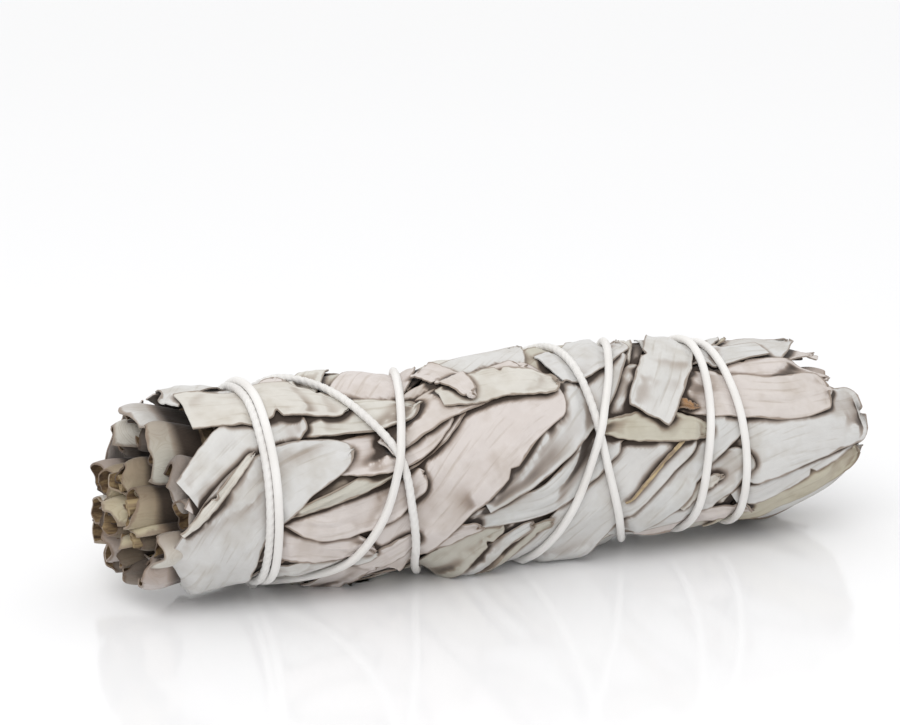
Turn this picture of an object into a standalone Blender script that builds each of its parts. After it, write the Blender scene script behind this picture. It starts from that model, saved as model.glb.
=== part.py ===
"""Bunch of dried white sage, bound with cotton string.

Eight leafy stems lie side by side along X: one in the middle and seven round it. Their cut ends
are at -X and their leaf tips at +X. Each stem's leaves are packed into a wedge of the bunch, and
its outer leaves come out of that wedge and wrap slantwise over its neighbours, like shingles. One
string binds the bunch: it starts in a knot at the cut end, winds to the tips and winds back.

A place on the bunch is (along, around, radius): metres along X from the middle, an angle about
the bunch's axis, and metres from that axis. Around is 0 facing -Y, a quarter turn at the top and
minus a quarter turn at the underside.
"""

import math
import random
from dataclasses import dataclass

import bmesh
import bpy
import numpy as np
from mathutils import Euler, Matrix, Vector

MM = 0.001
SEED = 31

# The packed inner leaves.
PACKED_RADIUS = 15.6 * MM
BUTT_END = -71 * MM
TIP_END = 65 * MM
SHOULDER = 52 * MM  # the bunch starts to round off towards its tips here
SHOULDER_LENGTH = 26 * MM
BUTT_TAPER_FROM = -58 * MM
BUTT_TAPER = 0.07
FLAT_DEPTH = 14.7 * MM  # the underside is pressed flat this far below the axis
LUMP = 0.45 * MM
LEAST_PINCHED_RADIUS = 9.7 * MM  # clear of the stems
LOW_LUMPS = ((-32, -110), (-10, -75), (13, -68), (58, -104))  # low places: mm along, degrees around
LOW_LUMP = 1.5 * MM
LOW_LUMP_WIDTH = 11 * MM
SECTION_STEP = 8 * MM
LIES_ROLLED = math.radians(-0.39)  # the bunch lies turned this much about X, on its low places
LIES_PITCHED = math.radians(-0.52)  # and this much about Y

# The leafy stems.
OUTER_SPRIGS = 7
WEDGE = 2 * math.pi / OUTER_SPRIGS
WEDGE_PHASE = math.radians(8)
WEDGE_CLEARANCE = 0.25 * MM  # on each side of the joint between two wedges
WEDGE_INNER_RADIUS = 4.7 * MM
WEDGE_ARC_POINTS = 6
HEART_RADIUS = 4.1 * MM
HEART_BUTT = -71.5 * MM
HEART_TIP = 67 * MM
HEART_SIDES = 12
STEM_RADIUS = 1.5 * MM
STEM_TIP_RADIUS = 1.0 * MM
STEM_CLEARANCE = 0.3 * MM
STEM_SIDES = 8
STEM_FROM_AXIS = 7.0 * MM
STEM_CUT = -73.5 * MM
STEM_TIP = 38 * MM

# The outer leaves.
LEAF_THICKNESS = 0.65 * MM
LEAF_CLEARANCE = 0.35 * MM
LEAF_ROWS = (0.0, 0.08, 0.28, 0.52, 0.77, 1.0)  # shares of the leaf's length
LEAF_COLUMNS = 4
LEAF_ROOT_DEPTH = 1.9 * MM
LEAF_ROOT_WIDTH = 4.0 * MM
LEAF_TIP_WIDTH = 4.6 * MM
LEAF_SPACING = 13.5 * MM
FIRST_LEAF = 40 * MM
LAST_LEAF = -68 * MM
LEAF_REACH = 77 * MM  # no leaf tip reaches further along than this
EDGE_WAVE = 0.09
EDGE_LIFT = 0.35 * MM
SETTLE_STEPS = 60
SETTLE_LAST_STEPS = 15  # in these a leaf is only lifted
MOST_SETTLE = 0.25 * MM
MOST_LIFT = 2.6 * MM
MOST_RADIUS = 21.8 * MM
MOST_DEPTH = 18.3 * MM
# how much further back a root goes, in turn, to find room
ROOT_TRIES = (0.0, 3 * MM, 6 * MM, -3 * MM, 9 * MM, 12 * MM)
FLOOR_PRESS = 0.25 * MM  # how far the lowest leaves are pressed flat by the surface
BELOW_SIZE = (200 * MM, 80 * MM, 10 * MM)  # a block larger than all that could lie under the surface

# The leaves' ends that show in the two end faces.
SCROLL_THICKNESS = 0.7 * MM
SCROLL_ARC_POINTS = 7
SCROLL_SUNK = 1.6 * MM
SCROLL_GAP = math.radians(70)
SCROLL_RAGGED = 0.5 * MM
BUTT_SCROLL_RADIUS = 2.1 * MM
BUTT_SCROLL_FROM_AXIS = 12.0 * MM
BUTT_SCROLL_APART = 2.5 * MM
BUTT_SCROLL_END = -74.3 * MM
TIP_SCROLL_RADIUS = 1.8 * MM
TIP_SCROLL_FROM_AXIS = 7.8 * MM
TIP_SCROLL_END = 69.5 * MM
HEART_SCROLL_RADIUS = 2.6 * MM
HEART_SCROLL_END = 72.5 * MM

# The string.
STRING_RADIUS = 0.8 * MM
STRING_CLEARANCE = 0.28 * MM
STRING_POINT_STEP = 5 * MM
STRING_FINE_STEP = 0.5 * MM
STRING_RIDGE_RADIUS = 20.5 * MM
PINCH_DEPTH = 2.2 * MM
PINCH_WIDTH = 6 * MM
UNDER_PINCH_DEPTH = 5.2 * MM  # more on the underside, so that the leaves carry the bunch
UNDER_PINCH_WIDTH = 8.5 * MM
TAUT_STEPS = 60
CROSSING_MIN_STEPS = 24  # points this far apart along the string belong to different turns
CROSSING_ROUNDS = 3
KNOT_AROUND = math.radians(150)
KNOT_ALONG = -49.3 * MM
KNOT_RADIUS = 1.7 * MM
KNOT_RAISED = 0.6 * MM
KNOT_TAILS = ((-56.5, 163), (-43.0, 170))  # where each tail ends: millimetres along, degrees around

# The string's winding: (degrees around, falling as it winds; millimetres along).
STRING_ROUTE = (
    (150, -50.2), (90, -50.2), (0, -50.3), (-90, -50.3), (-180, -49.6), (-210, -46.6), (-240, -41.0),
    (-267, -34.6), (-300, -28.4), (-327, -24.3), (-360, -21.9), (-412, -18.6), (-515, -3.0),
    (-614, 13.4), (-684, 16.4), (-715, 18.4), (-771, 23.8), (-870, 38.0), (-974, 45.9),
    (-1031, 46.6), (-1100, 47.3), (-1125, 47.5), (-1230, 44.6), (-1334, 42.3), (-1374, 41.8),
    (-1436, 38.8), (-1483, 37.2), (-1590, 33.4), (-1694, 27.2), (-1734, 21.9), (-1766, 16.6),
    (-1805, 12.2), (-1869, 4.4), (-1960, -6.6), (-2054, -16.4), (-2110, -22.2), (-2127, -24.3),
    (-2162, -27.8), (-2205, -37.0), (-2222, -41.8), (-2250, -46.4), (-2290, -48.1), (-2370, -48.3),
    (-2460, -48.3), (-2550, -48.3), (-2640, -48.3), (-2730, -48.3),
)


@dataclass
class Leaf:
    """An outer leaf: where its root is, which way it runs, and its size. heading is its angle from
    +X towards rising around, and bend is how much it turns along its length."""

    along: float
    around: float
    heading: float
    length: float
    width: float
    bend: float = 0.0


def leaf(along_mm, around_deg, heading_deg, length_mm, width_mm, bend_deg=0.0):
    return Leaf(
        along_mm * MM,
        math.radians(around_deg),
        math.radians(heading_deg),
        length_mm * MM,
        width_mm * MM,
        math.radians(bend_deg),
    )


# The broad leaves that show on the side facing -Y.
FACING_LEAVES = (
    leaf(37, -34, 16, 40, 17, -8),
    leaf(33, 12, 14, 44, 18, -10),
    leaf(24, 42, 30, 40, 15, -30),
    leaf(8, -66, 50, 54, 16, 8),
    leaf(-15, -20, 33, 50, 15, 6),
    leaf(-26, -34, 44, 50, 20, 10),
    leaf(-40, 62, 8, 46, 15, -8),
    leaf(-43, -62, 36, 50, 17, 10),
    leaf(-62, -52, 70, 50, 18, 8),
    leaf(-66, 40, 52, 44, 17, 20),
)

# The leaves wrapped nearly square across the cut end: degrees around, one after another.
BUTT_LEAVES = (-75, -25, 22, 78, 128, 180, 231)
BUTT_LEAF_ALONG = -66 * MM


def clear_scene():
    for obj in list(bpy.data.objects):
        bpy.data.objects.remove(obj)


def material(name, colour, roughness):
    made = bpy.data.materials.new(name)
    made.use_nodes = True
    shader = made.node_tree.nodes["Principled BSDF"]
    shader.inputs["Base Color"].default_value = (*colour, 1.0)
    shader.inputs["Roughness"].default_value = roughness
    shader.inputs["Metallic"].default_value = 0.0
    return made


def place(along, around, radius):
    """The point, or an array of points, at that place on the bunch, with the axis still at z = 0."""
    along, around, radius = np.broadcast_arrays(along, around, radius)
    return np.stack([along, -radius * np.cos(around), radius * np.sin(around)], axis=-1)


def place_of(points):
    """(along, around, radius) of an array of points."""
    around = np.arctan2(points[..., 2], -points[..., 1])
    return points[..., 0], around, np.hypot(points[..., 1], points[..., 2])


def bunch_radius(along):
    """Radius of the packed leaves there, before it is pressed or pinched."""
    past = np.clip((along - SHOULDER) / SHOULDER_LENGTH, 0.0, 0.985)
    rounded = np.sqrt(1.0 - past**2)
    butt = np.clip((BUTT_TAPER_FROM - along) / (BUTT_TAPER_FROM - BUTT_END), 0.0, 1.2)
    return PACKED_RADIUS * rounded * (1.0 - BUTT_TAPER * butt**2)


def smooth_curve(knots, values, at):
    """A cubic through the knots that turns smoothly at each of them."""
    slopes = np.gradient(values, knots)
    right = np.clip(np.searchsorted(knots, at), 1, len(knots) - 1)
    left = right - 1
    width = knots[right] - knots[left]
    share = (at - knots[left]) / width
    near = (1 + 2 * share) * (1 - share) ** 2 * values[left]
    far = share**2 * (3 - 2 * share) * values[right]
    lean = share * (1 - share) * width * ((1 - share) * slopes[left] - share * slopes[right])
    return near + far + lean


def string_line():
    """The string's line as closely spaced (along, around), in the order that it is wound."""
    around, along = np.array(STRING_ROUTE, float).T
    around, along = np.radians(-around), along * MM
    steps = math.ceil((around[-1] - around[0]) * STRING_RIDGE_RADIUS / STRING_FINE_STEP)
    turned = np.linspace(around[0], around[-1], steps)
    return smooth_curve(around, along, turned), -turned


def string_pinch(along, around, line):
    """How far the string pulls the leaves in there."""
    line_along, line_around = (part[::4] for part in line)
    turn = np.abs((around[..., None] - line_around + np.pi) % (2 * np.pi) - np.pi)
    away = np.hypot(along[..., None] - line_along, turn * PACKED_RADIUS).min(axis=-1)
    below = np.clip(-np.sin(around), 0.0, 1.0) ** 4
    under = UNDER_PINCH_DEPTH * below * np.exp(-((away / UNDER_PINCH_WIDTH) ** 4))
    return PINCH_DEPTH * np.exp(-((away / PINCH_WIDTH) ** 2)) + under


def packed_radius(along, around, line):
    """Radius of the packed leaves, with their lumps, the flat underside and the string's pinch."""
    lumps = np.sin(3 * around + along / (9 * MM)) + np.sin(2 * around - along / (14 * MM))
    radius = bunch_radius(along) + LUMP * lumps
    down = np.clip(-np.sin(around), 0.2, 1.0)
    radius = np.minimum(radius, FLAT_DEPTH / down)
    for lump_along, lump_around in LOW_LUMPS:
        turn = np.abs((around - math.radians(lump_around) + np.pi) % (2 * np.pi) - np.pi)
        away = np.hypot(along - lump_along * MM, turn * PACKED_RADIUS)
        radius = radius + LOW_LUMP * np.exp(-((away / LOW_LUMP_WIDTH) ** 2))
    least = np.minimum(bunch_radius(along), LEAST_PINCHED_RADIUS)
    return np.maximum(radius - string_pinch(along, around, line), least)


def wedge_angles(sprig):
    """The two angles between which an outer sprig's wedge lies."""
    start = WEDGE_PHASE + sprig * WEDGE
    return start, start + WEDGE


def wedge_at(around):
    """Which outer sprig's wedge an angle falls in."""
    return np.floor(((around - WEDGE_PHASE) % (2 * math.pi)) / WEDGE).astype(int)


class Wrap:
    """The bunch's surface as it grows: a grid of radii along and around, first of the packed
    wedges as they are faceted, then of each leaf that is laid on them."""

    STEP = 0.6 * MM
    TURNS = 240

    def __init__(self, line):
        self.line = line
        self.start = -84 * MM
        self.count = int(170 * MM / self.STEP)
        self.packed = self.faceted_wedges()
        self.laid = np.zeros((self.count, self.TURNS))

    def stations(self):
        return np.arange(BUTT_END, TIP_END + SECTION_STEP / 2, SECTION_STEP)

    def faceted_wedges(self):
        """Radii of the wedges' flat facets, read between the same corners that build them."""
        stations = np.concatenate([[self.start], self.stations(), [TIP_END + 5 * MM, 76 * MM, 90 * MM]])
        along = self.start + self.STEP * np.arange(self.count)
        around = 2 * math.pi * np.arange(self.TURNS) / self.TURNS
        corners = WEDGE_PHASE + WEDGE / (WEDGE_ARC_POINTS - 1) * np.arange(
            -WEDGE_ARC_POINTS, OUTER_SPRIGS * (WEDGE_ARC_POINTS - 1) + 1
        )
        grid = packed_radius(stations[:, None], corners[None], self.line)
        rows = np.array([np.interp(around, corners, row) for row in grid])
        return np.array([np.interp(along, stations, column) for column in rows.T]).T

    def cell(self, along, around):
        row = np.clip(np.rint((along - self.start) / self.STEP).astype(int), 0, self.count - 1)
        column = np.rint(around * self.TURNS / (2 * math.pi)).astype(int) % self.TURNS
        return row, column

    def under(self, along, around):
        """Radius of whatever lies outermost there."""
        cell = self.cell(along, around)
        return np.maximum(self.packed[cell], self.laid[cell])

    def under_root(self, along, around, sprig):
        """The same for a leaf's root, which may sink into its own sprig's wedge."""
        cell = self.cell(along, around)
        own = wedge_at(around) == sprig
        return np.maximum(np.where(own, 0.0, self.packed[cell]), self.laid[cell])

    def lay(self, points):
        """Records a laid surface, one cell wider all round than its points."""
        along, around, radius = place_of(points)
        row, column = self.cell(along, around)
        for down in (-1, 0, 1):
            for side in (-1, 0, 1):
                where = (np.clip(row + down, 0, self.count - 1), (column + side) % self.TURNS)
                np.maximum.at(self.laid, where, radius)


class LeafGrid:
    """The flat grid that every leaf starts as, thickened into a closed blade.

    row and across give each grid point's row and its place from -1 to 1 across the leaf, faces the
    triangles of one side, and source and outer say which grid point each corner of the closed
    blade belongs to, and on which side."""

    def __init__(self):
        bm = bmesh.new()
        bmesh.ops.create_grid(bm, x_segments=len(LEAF_ROWS) - 1, y_segments=LEAF_COLUMNS, size=1.0)
        bmesh.ops.triangulate(bm, faces=bm.faces, quad_method="ALTERNATE")
        flat = np.array([v.co[:2] for v in bm.verts])
        self.row = np.rint((flat[:, 0] + 1) / 2 * (len(LEAF_ROWS) - 1)).astype(int)
        self.across = flat[:, 1]
        self.faces = np.array([[v.index for v in f.verts] for f in bm.faces])
        bmesh.ops.extrude_face_region(bm, geom=list(bm.faces), use_keep_orig=True)
        bm.verts.index_update()
        both = np.array([v.co[:2] for v in bm.verts])
        self.source = np.array([np.abs(flat - p).sum(axis=1).argmin() for p in both])
        self.outer = np.arange(len(both)) >= len(flat)
        for vert, outer in zip(bm.verts, self.outer):
            vert.co.z = float(outer)
        bmesh.ops.recalc_face_normals(bm, faces=bm.faces)
        self.blade = bm

    def thickened(self, name, inner, outer):
        blade = self.blade.copy()
        points = np.where(self.outer[:, None], outer[self.source], inner[self.source])
        for vert, point in zip(blade.verts, points):
            vert.co = point
        return object_from(name, blade)


def object_from(name, bm):
    mesh = bpy.data.meshes.new(name)
    bm.to_mesh(mesh)
    bm.free()
    return bpy.data.objects.new(name, mesh)


def face_samples(per_side):
    """Weights of evenly spread points in a triangle."""
    steps = [(i, j) for i in range(per_side + 1) for j in range(per_side + 1 - i)]
    return np.array([(i, j, per_side - i - j) for i, j in steps]) / per_side


def on_faces(values, faces, weights):
    """The values at the sample points of every face."""
    return np.einsum("sk,fkc->fsc", weights, values[faces])


def leaf_half_width(made, share):
    """Half the leaf's width at a share of its length: a short stalk, broadest past the middle,
    then a blunt tip."""
    blade = np.sin(np.pi * np.clip(share, 0.0, 1.0) ** 1.15) ** 0.7
    ends = LEAF_ROOT_WIDTH + (LEAF_TIP_WIDTH - LEAF_ROOT_WIDTH) * share
    return np.maximum(made.width * blade, ends) / 2


def leaf_outline(made, grid, draw):
    """(along, around) of each point of the leaf's grid, before it is given a height."""
    share = np.array(LEAF_ROWS)
    heading = made.heading + made.bend * (share - share.mean())
    step = np.diff(share) * made.length
    middle = (heading[1:] + heading[:-1]) / 2
    along = made.along + np.concatenate([[0], np.cumsum(step * np.cos(middle))])
    reach = bunch_radius(np.minimum(along, LEAF_REACH)) + 3 * MM
    turn = step * np.sin(middle) / ((reach[1:] + reach[:-1]) / 2)
    around = made.around + np.concatenate([[0], np.cumsum(turn)])
    half = leaf_half_width(made, share)
    half[2:-1] *= 1 + EDGE_WAVE * np.array([draw.uniform(-1, 1) for _ in half[2:-1]])
    side = half[grid.row] * grid.across
    at_along = along[grid.row] - np.sin(heading[grid.row]) * side
    at_around = around[grid.row] + np.cos(heading[grid.row]) * side / reach[grid.row]
    over = np.maximum(at_along - LEAF_REACH, 0.0)
    return at_along - over * 0.9, at_around


def settle(wrap, sprig, along, around, grid, draw):
    """Lets a leaf down on what is under it. Returns the radius of its inner face at each point of
    its grid, and how far it still cuts into another sprig, which is nothing if there was room."""
    root = grid.row == 0
    radius = wrap.under(along, around) + LEAF_CLEARANCE
    radius[root] = wrap.packed[wrap.cell(along, around)][root] - LEAF_ROOT_DEPTH
    rim = ~root & (np.abs(grid.across) > 0.9)
    radius[rim] += EDGE_LIFT * draw.uniform(0.2, 1.0)
    weights = face_samples(6)
    share = weights / (weights**2).sum(axis=1, keepdims=True)
    at_root = np.repeat(root[grid.faces].any(axis=1)[:, None], len(weights), axis=1)
    lowest = radius.copy()
    for step in range(SETTLE_STEPS):
        points = on_faces(place(along, around, radius), grid.faces, weights)
        at_along, at_around, at_radius = place_of(points)
        sunk = wrap.under_root(at_along, at_around, sprig)
        need = np.where(at_root, sunk, wrap.under(at_along, at_around))
        room = at_radius - need - LEAF_CLEARANCE
        room[at_root & (sunk == 0.0)] = MOST_SETTLE
        lift = np.zeros(len(radius))
        short = np.maximum(-room, 0.0)
        np.maximum.at(lift, grid.faces, (short[:, :, None] * share).max(axis=1))
        drop = np.full(len(radius), MOST_SETTLE)
        loose = (np.maximum(room, 0.0)[:, :, None] / np.maximum(weights, 0.05)).min(axis=1)
        np.minimum.at(drop, grid.faces, loose / 3)
        drop[(lift > 0) | (step > SETTLE_STEPS - SETTLE_LAST_STEPS)] = 0.0
        moved = np.maximum(radius + lift - drop, lowest)
        radius = np.where(root, radius, moved)
    return radius, max(short.max(), (radius - lowest).max() - MOST_LIFT)


@dataclass
class LaidLeaf:
    sprig: int
    along: np.ndarray
    around: np.ndarray
    inner: np.ndarray
    outer: np.ndarray


def lay_leaf(wrap, made, grid, draw):
    """Lays a leaf on the wrap, or returns None where its root finds no room."""
    sprig = int(wedge_at(made.around))
    along, around = leaf_outline(made, grid, draw)
    inner, short = settle(wrap, sprig, along, around, grid, draw)
    if short > LEAF_CLEARANCE / 3:
        return None
    outer = inner + LEAF_THICKNESS
    if outer.max() > MOST_RADIUS or place(along, around, outer)[:, 2].min() < -MOST_DEPTH:
        return None
    wrap.lay(on_faces(place(along, around, outer), grid.faces, face_samples(12)))
    return LaidLeaf(sprig, along, around, inner, outer)


def rooted(made):
    """The same leaf with its root moved back along it to where its own wedge leaves room."""
    heading = made.heading - made.bend / 2
    room_from, room_to = WEDGE * 0.22, WEDGE * 0.5
    for back in np.arange(0, 22, 0.5) * MM:
        around = made.around - back * math.sin(heading) / PACKED_RADIUS
        inside = (around - WEDGE_PHASE) % WEDGE
        if room_from <= inside <= room_to:
            along = made.along - back * math.cos(heading)
            return Leaf(along, around, made.heading, made.length + back, made.width, made.bend)
    return made


def leaf_plan(draw):
    """Every outer leaf, from the tips back to the cut end, so that each covers the last one's root."""
    planned = [rooted(made) for made in FACING_LEAVES]
    rows = int((FIRST_LEAF - LAST_LEAF) / LEAF_SPACING)
    for row in range(rows):
        for sprig in range(OUTER_SPRIGS):
            along = FIRST_LEAF - row * LEAF_SPACING - (sprig % 2) * LEAF_SPACING / 2
            along += draw.uniform(-3, 3) * MM
            back = (FIRST_LEAF - along) / (FIRST_LEAF - LAST_LEAF)
            heading = math.radians(14 + 52 * back + draw.uniform(-12, 12))
            around = wedge_angles(sprig)[0] + WEDGE * draw.uniform(0.24, 0.45)
            made = Leaf(
                max(along, LAST_LEAF + draw.uniform(0, 3) * MM),
                around,
                heading,
                draw.uniform(36, 47) * MM,
                draw.uniform(13, 17) * MM,
                math.radians(draw.uniform(-12, 12)),
            )
            if all(apart(made, other) > 8 * MM for other in planned[: len(FACING_LEAVES)]):
                planned.append(made)
    planned.sort(key=lambda made: -made.along)
    for around in BUTT_LEAVES:
        heading = math.radians(84 + draw.uniform(-4, 4))
        along = BUTT_LEAF_ALONG + draw.uniform(-1, 1) * MM
        width = draw.uniform(12, 14) * MM
        length = draw.uniform(24, 30) * MM
        planned.append(rooted(Leaf(along, math.radians(around), heading, length, width)))
    return planned


def apart(one, other):
    """How far apart two leaves' roots are."""
    turn = (one.around - other.around + math.pi) % (2 * math.pi) - math.pi
    return math.hypot(one.along - other.along, turn * PACKED_RADIUS)


def moved_back(made, back):
    """The same leaf with its root further back along it, and its tip where it was."""
    heading = made.heading - made.bend / 2
    return Leaf(
        made.along - back * math.cos(heading),
        made.around - back * math.sin(heading) / PACKED_RADIUS,
        made.heading,
        made.length + back,
        made.width,
        made.bend,
    )


def lay_leaves(wrap, grid):
    """Lays every outer leaf, each with its root further back where it finds no room at first."""
    laid = []
    for number, made in enumerate(leaf_plan(random.Random(SEED))):
        draw = random.Random(SEED * 1000 + number)
        tries = (lay_leaf(wrap, rooted(moved_back(made, back)), grid, draw) for back in ROOT_TRIES)
        found = next((one for one in tries if one), None)
        if found:
            laid.append(found)
    return laid


def lying():
    """How the bunch is turned where it lies."""
    return Euler((LIES_ROLLED, LIES_PITCHED, 0.0)).to_matrix().to_4x4()


def surface_height(laid):
    """Height of the surface that the bunch lies on, a little into its lowest leaves."""
    points = np.concatenate([place(one.along, one.around, one.outer) for one in laid])
    return (points @ np.array(lying().to_3x3())[2]).min() + FLOOR_PRESS


def below_surface(surface):
    """A block of everything under the surface."""
    bm = bmesh.new()
    size = Matrix.Diagonal((*BELOW_SIZE, 1.0))
    under = Matrix.Translation((0.0, 0.0, surface - BELOW_SIZE[2] / 2))
    bmesh.ops.create_cube(bm, size=1.0, matrix=lying().inverted() @ under @ size)
    return object_from("below_surface", bm)


def lofted(name, rings):
    """A closed solid through rings of points, each with as many points as the first."""
    bm = bmesh.new()
    rows = [[bm.verts.new(point) for point in ring] for ring in rings]
    for near, far in zip(rows, rows[1:]):
        for k, vert in enumerate(near):
            bm.faces.new((near[k - 1], vert, far[k], far[k - 1]))
    bm.faces.new(rows[0])
    bm.faces.new(rows[-1])
    bmesh.ops.recalc_face_normals(bm, faces=bm.faces)
    bmesh.ops.triangulate(bm, faces=bm.faces)
    return object_from(name, bm)


def cylinder(name, radius, from_x, to_x, at=(0.0, 0.0), end_radius=None, sides=STEM_SIDES):
    """A straight round rod along X, whose middle passes through at = (y, z)."""
    bm = bmesh.new()
    lay_down = Matrix.Rotation(math.pi / 2, 4, "Y")
    middle = Matrix.Translation(((from_x + to_x) / 2, at[0], at[1]))
    bmesh.ops.create_cone(
        bm,
        cap_ends=True,
        segments=sides,
        radius1=radius,
        radius2=radius if end_radius is None else end_radius,
        depth=to_x - from_x,
        matrix=middle @ lay_down,
    )
    return object_from(name, bm)


def scroll(name, at, radius, root_x, end_x, opens, flare):
    """The rolled end of a leaf: a C in section round at = (y, z), open on the side that opens
    gives, sunk into the bunch at root_x and a little wider at its other end."""
    turn = opens + np.linspace(SCROLL_GAP / 2, 2 * math.pi - SCROLL_GAP / 2, SCROLL_ARC_POINTS)
    rings = []
    for share in (0.0, 0.5, 1.0):
        outer = radius * (1 + (flare - 1) * share**2)
        ragged = SCROLL_RAGGED * share * np.sin(2 * turn + opens * 3)
        along = root_x + (end_x - root_x) * share + ragged
        near, far = (
            np.stack([along, at[0] + size * np.cos(turn), at[1] + size * np.sin(turn)], axis=-1)
            for size in (outer, outer - SCROLL_THICKNESS)
        )
        rings.append(np.concatenate([near, far[::-1]]))
    return lofted(name, rings)


def wedge_core(wrap, sprig):
    """The packed inner leaves of an outer sprig: a wedge of the bunch, as far as the heart."""
    start, end = wedge_angles(sprig)
    outer_turn = np.linspace(start, end, WEDGE_ARC_POINTS)
    inner_turn = np.linspace(end, start, 3)
    rings = []
    for along in wrap.stations():
        outer = packed_radius(np.full(WEDGE_ARC_POINTS, along), outer_turn, wrap.line)
        side = WEDGE_CLEARANCE / outer
        turn = np.clip(outer_turn, start + side, end - side)
        inner_side = WEDGE_CLEARANCE / WEDGE_INNER_RADIUS
        back = np.clip(inner_turn, start + inner_side, end - inner_side)
        rings.append(
            np.concatenate([place(along, turn, outer), place(along, back, WEDGE_INNER_RADIUS)])
        )
    return lofted("core", rings)


def wedge_scrolls(sprig):
    """The leaf ends that show in the cut face and among the tips of an outer sprig."""
    middle = sum(wedge_angles(sprig)) / 2
    radial = np.array([-math.cos(middle), math.sin(middle)])
    sideways = np.array([math.sin(middle), math.cos(middle)])
    ends = []
    for side in (-1, 1):
        at = radial * BUTT_SCROLL_FROM_AXIS + sideways * side * BUTT_SCROLL_APART
        opens = math.atan2(at[1], at[0]) + side * 1.9 + sprig * 2.1
        end_x = BUTT_SCROLL_END + 0.6 * MM * math.sin(5 * sprig + 2 * side)
        ends.append(scroll("butt", at, BUTT_SCROLL_RADIUS, BUTT_END + SCROLL_SUNK, end_x, opens, 1.0))
    at = radial * TIP_SCROLL_FROM_AXIS
    end_x = TIP_SCROLL_END - 1.2 * MM * (sprig % 3)
    ends.append(scroll("tip", at, TIP_SCROLL_RADIUS, TIP_END - SCROLL_SUNK, end_x, 1.3 * sprig, 1.1))
    return ends


def heart_scrolls():
    butt = scroll("butt", (0, 0), HEART_RADIUS, HEART_BUTT + SCROLL_SUNK, BUTT_SCROLL_END, 2.0, 1.0)
    tip = scroll("tip", (0, 0), HEART_SCROLL_RADIUS, HEART_TIP - SCROLL_SUNK, HEART_SCROLL_END, 0.7, 1.1)
    return [butt, tip]


def boolean(obj, operation, operand):
    """Joins an object, or a collection of them, to obj, or cuts it out of obj. The result is
    applied, and what was used is removed."""
    joined = obj.modifiers.new("boolean", "BOOLEAN")
    joined.operation = operation
    used = [operand]
    if isinstance(operand, bpy.types.Collection):
        joined.solver = "MANIFOLD"
        joined.operand_type = "COLLECTION"
        joined.collection = operand
        used = list(operand.objects)
    else:
        joined.object = operand
    graph = bpy.context.evaluated_depsgraph_get()
    mesh = bpy.data.meshes.new_from_object(obj.evaluated_get(graph))
    obj.modifiers.clear()
    obj.data = mesh
    for one in used:
        bpy.data.objects.remove(one)


def leafy_sprig(name, core, bore, leaves, surface, work):
    """One sprig's leaves as one solid: its packed core with every leaf and leaf end joined to it,
    flat where it meets the surface, and bored for the stem."""
    work.objects.link(core)
    joined = bpy.data.collections.new(name + "_joined")
    work.children.link(joined)
    for one in leaves:
        joined.objects.link(one)
    boolean(core, "UNION", joined)
    bpy.data.collections.remove(joined)
    for cutter in (below_surface(surface), bore):
        work.objects.link(cutter)
        boolean(core, "DIFFERENCE", cutter)
    work.objects.unlink(core)
    core.name = name
    return core


def stem_place(sprig):
    """(y, z) of a sprig's stem, the last sprig being the heart."""
    if sprig == OUTER_SPRIGS:
        return 0.0, 0.0
    middle = sum(wedge_angles(sprig)) / 2
    return -STEM_FROM_AXIS * math.cos(middle), STEM_FROM_AXIS * math.sin(middle)


def stem(sprig):
    """A woody stem, cut off square a little past the leaves."""
    cut = STEM_CUT - 0.5 * MM * math.sin(3 * sprig)
    name = f"sprig_{sprig + 1}_stem"
    return cylinder(name, STEM_RADIUS, cut, STEM_TIP, stem_place(sprig), STEM_TIP_RADIUS)


def stem_bore(sprig):
    """The room in a sprig's leaves that its stem grows through."""
    radius = STEM_RADIUS + STEM_CLEARANCE
    end_radius = STEM_TIP_RADIUS + STEM_CLEARANCE
    end = STEM_TIP + STEM_CLEARANCE
    return cylinder("bore", radius, STEM_CUT - 2 * MM, end, stem_place(sprig), end_radius)


def string_need(wrap, along, around):
    """Least radius of the string's middle that keeps it clear of what lies under it."""
    touch = STRING_RADIUS + STRING_CLEARANCE
    need = np.zeros(len(along))
    offsets = np.linspace(-touch, touch, 7)
    for down in offsets:
        for side in offsets:
            room = touch**2 - down**2 - side**2
            if room >= 0:
                under = wrap.under(along + down, around + side / STRING_RIDGE_RADIUS)
                need = np.maximum(need, under + math.sqrt(room))
    return need


def pulled_taut(need):
    """The radii with the string drawn straight across the hollows that are narrow enough."""
    radius = need.copy()
    for _ in range(TAUT_STEPS):
        radius[1:-1] = np.maximum(need[1:-1], (radius[:-2] + radius[2:]) / 2)
    return radius


def crossings(along, around):
    """Pairs (earlier, later) of points along the string where it passes over itself, with how much
    further out the later one has to be."""
    turn = (around[:, None] - around + np.pi) % (2 * np.pi) - np.pi
    away = np.hypot(along[:, None] - along, turn * STRING_RIDGE_RADIUS)
    apart_by = 2 * STRING_RADIUS + STRING_CLEARANCE
    order = np.arange(len(along))
    later, earlier = np.nonzero((away < apart_by) & (order[:, None] - order > CROSSING_MIN_STEPS))
    return earlier, later, np.sqrt(apart_by**2 - away[later, earlier] ** 2)


def string_path(wrap):
    """The string's points, laid over the leaves and over what was wound before."""
    along, around = wrap.line
    need = string_need(wrap, along, around)
    earlier, later, over = crossings(along, around)
    for _ in range(CROSSING_ROUNDS):
        radius = pulled_taut(need)
        np.maximum.at(need, later, radius[earlier] + over)
    return spaced_points(along, around, pulled_taut(need))


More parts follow.
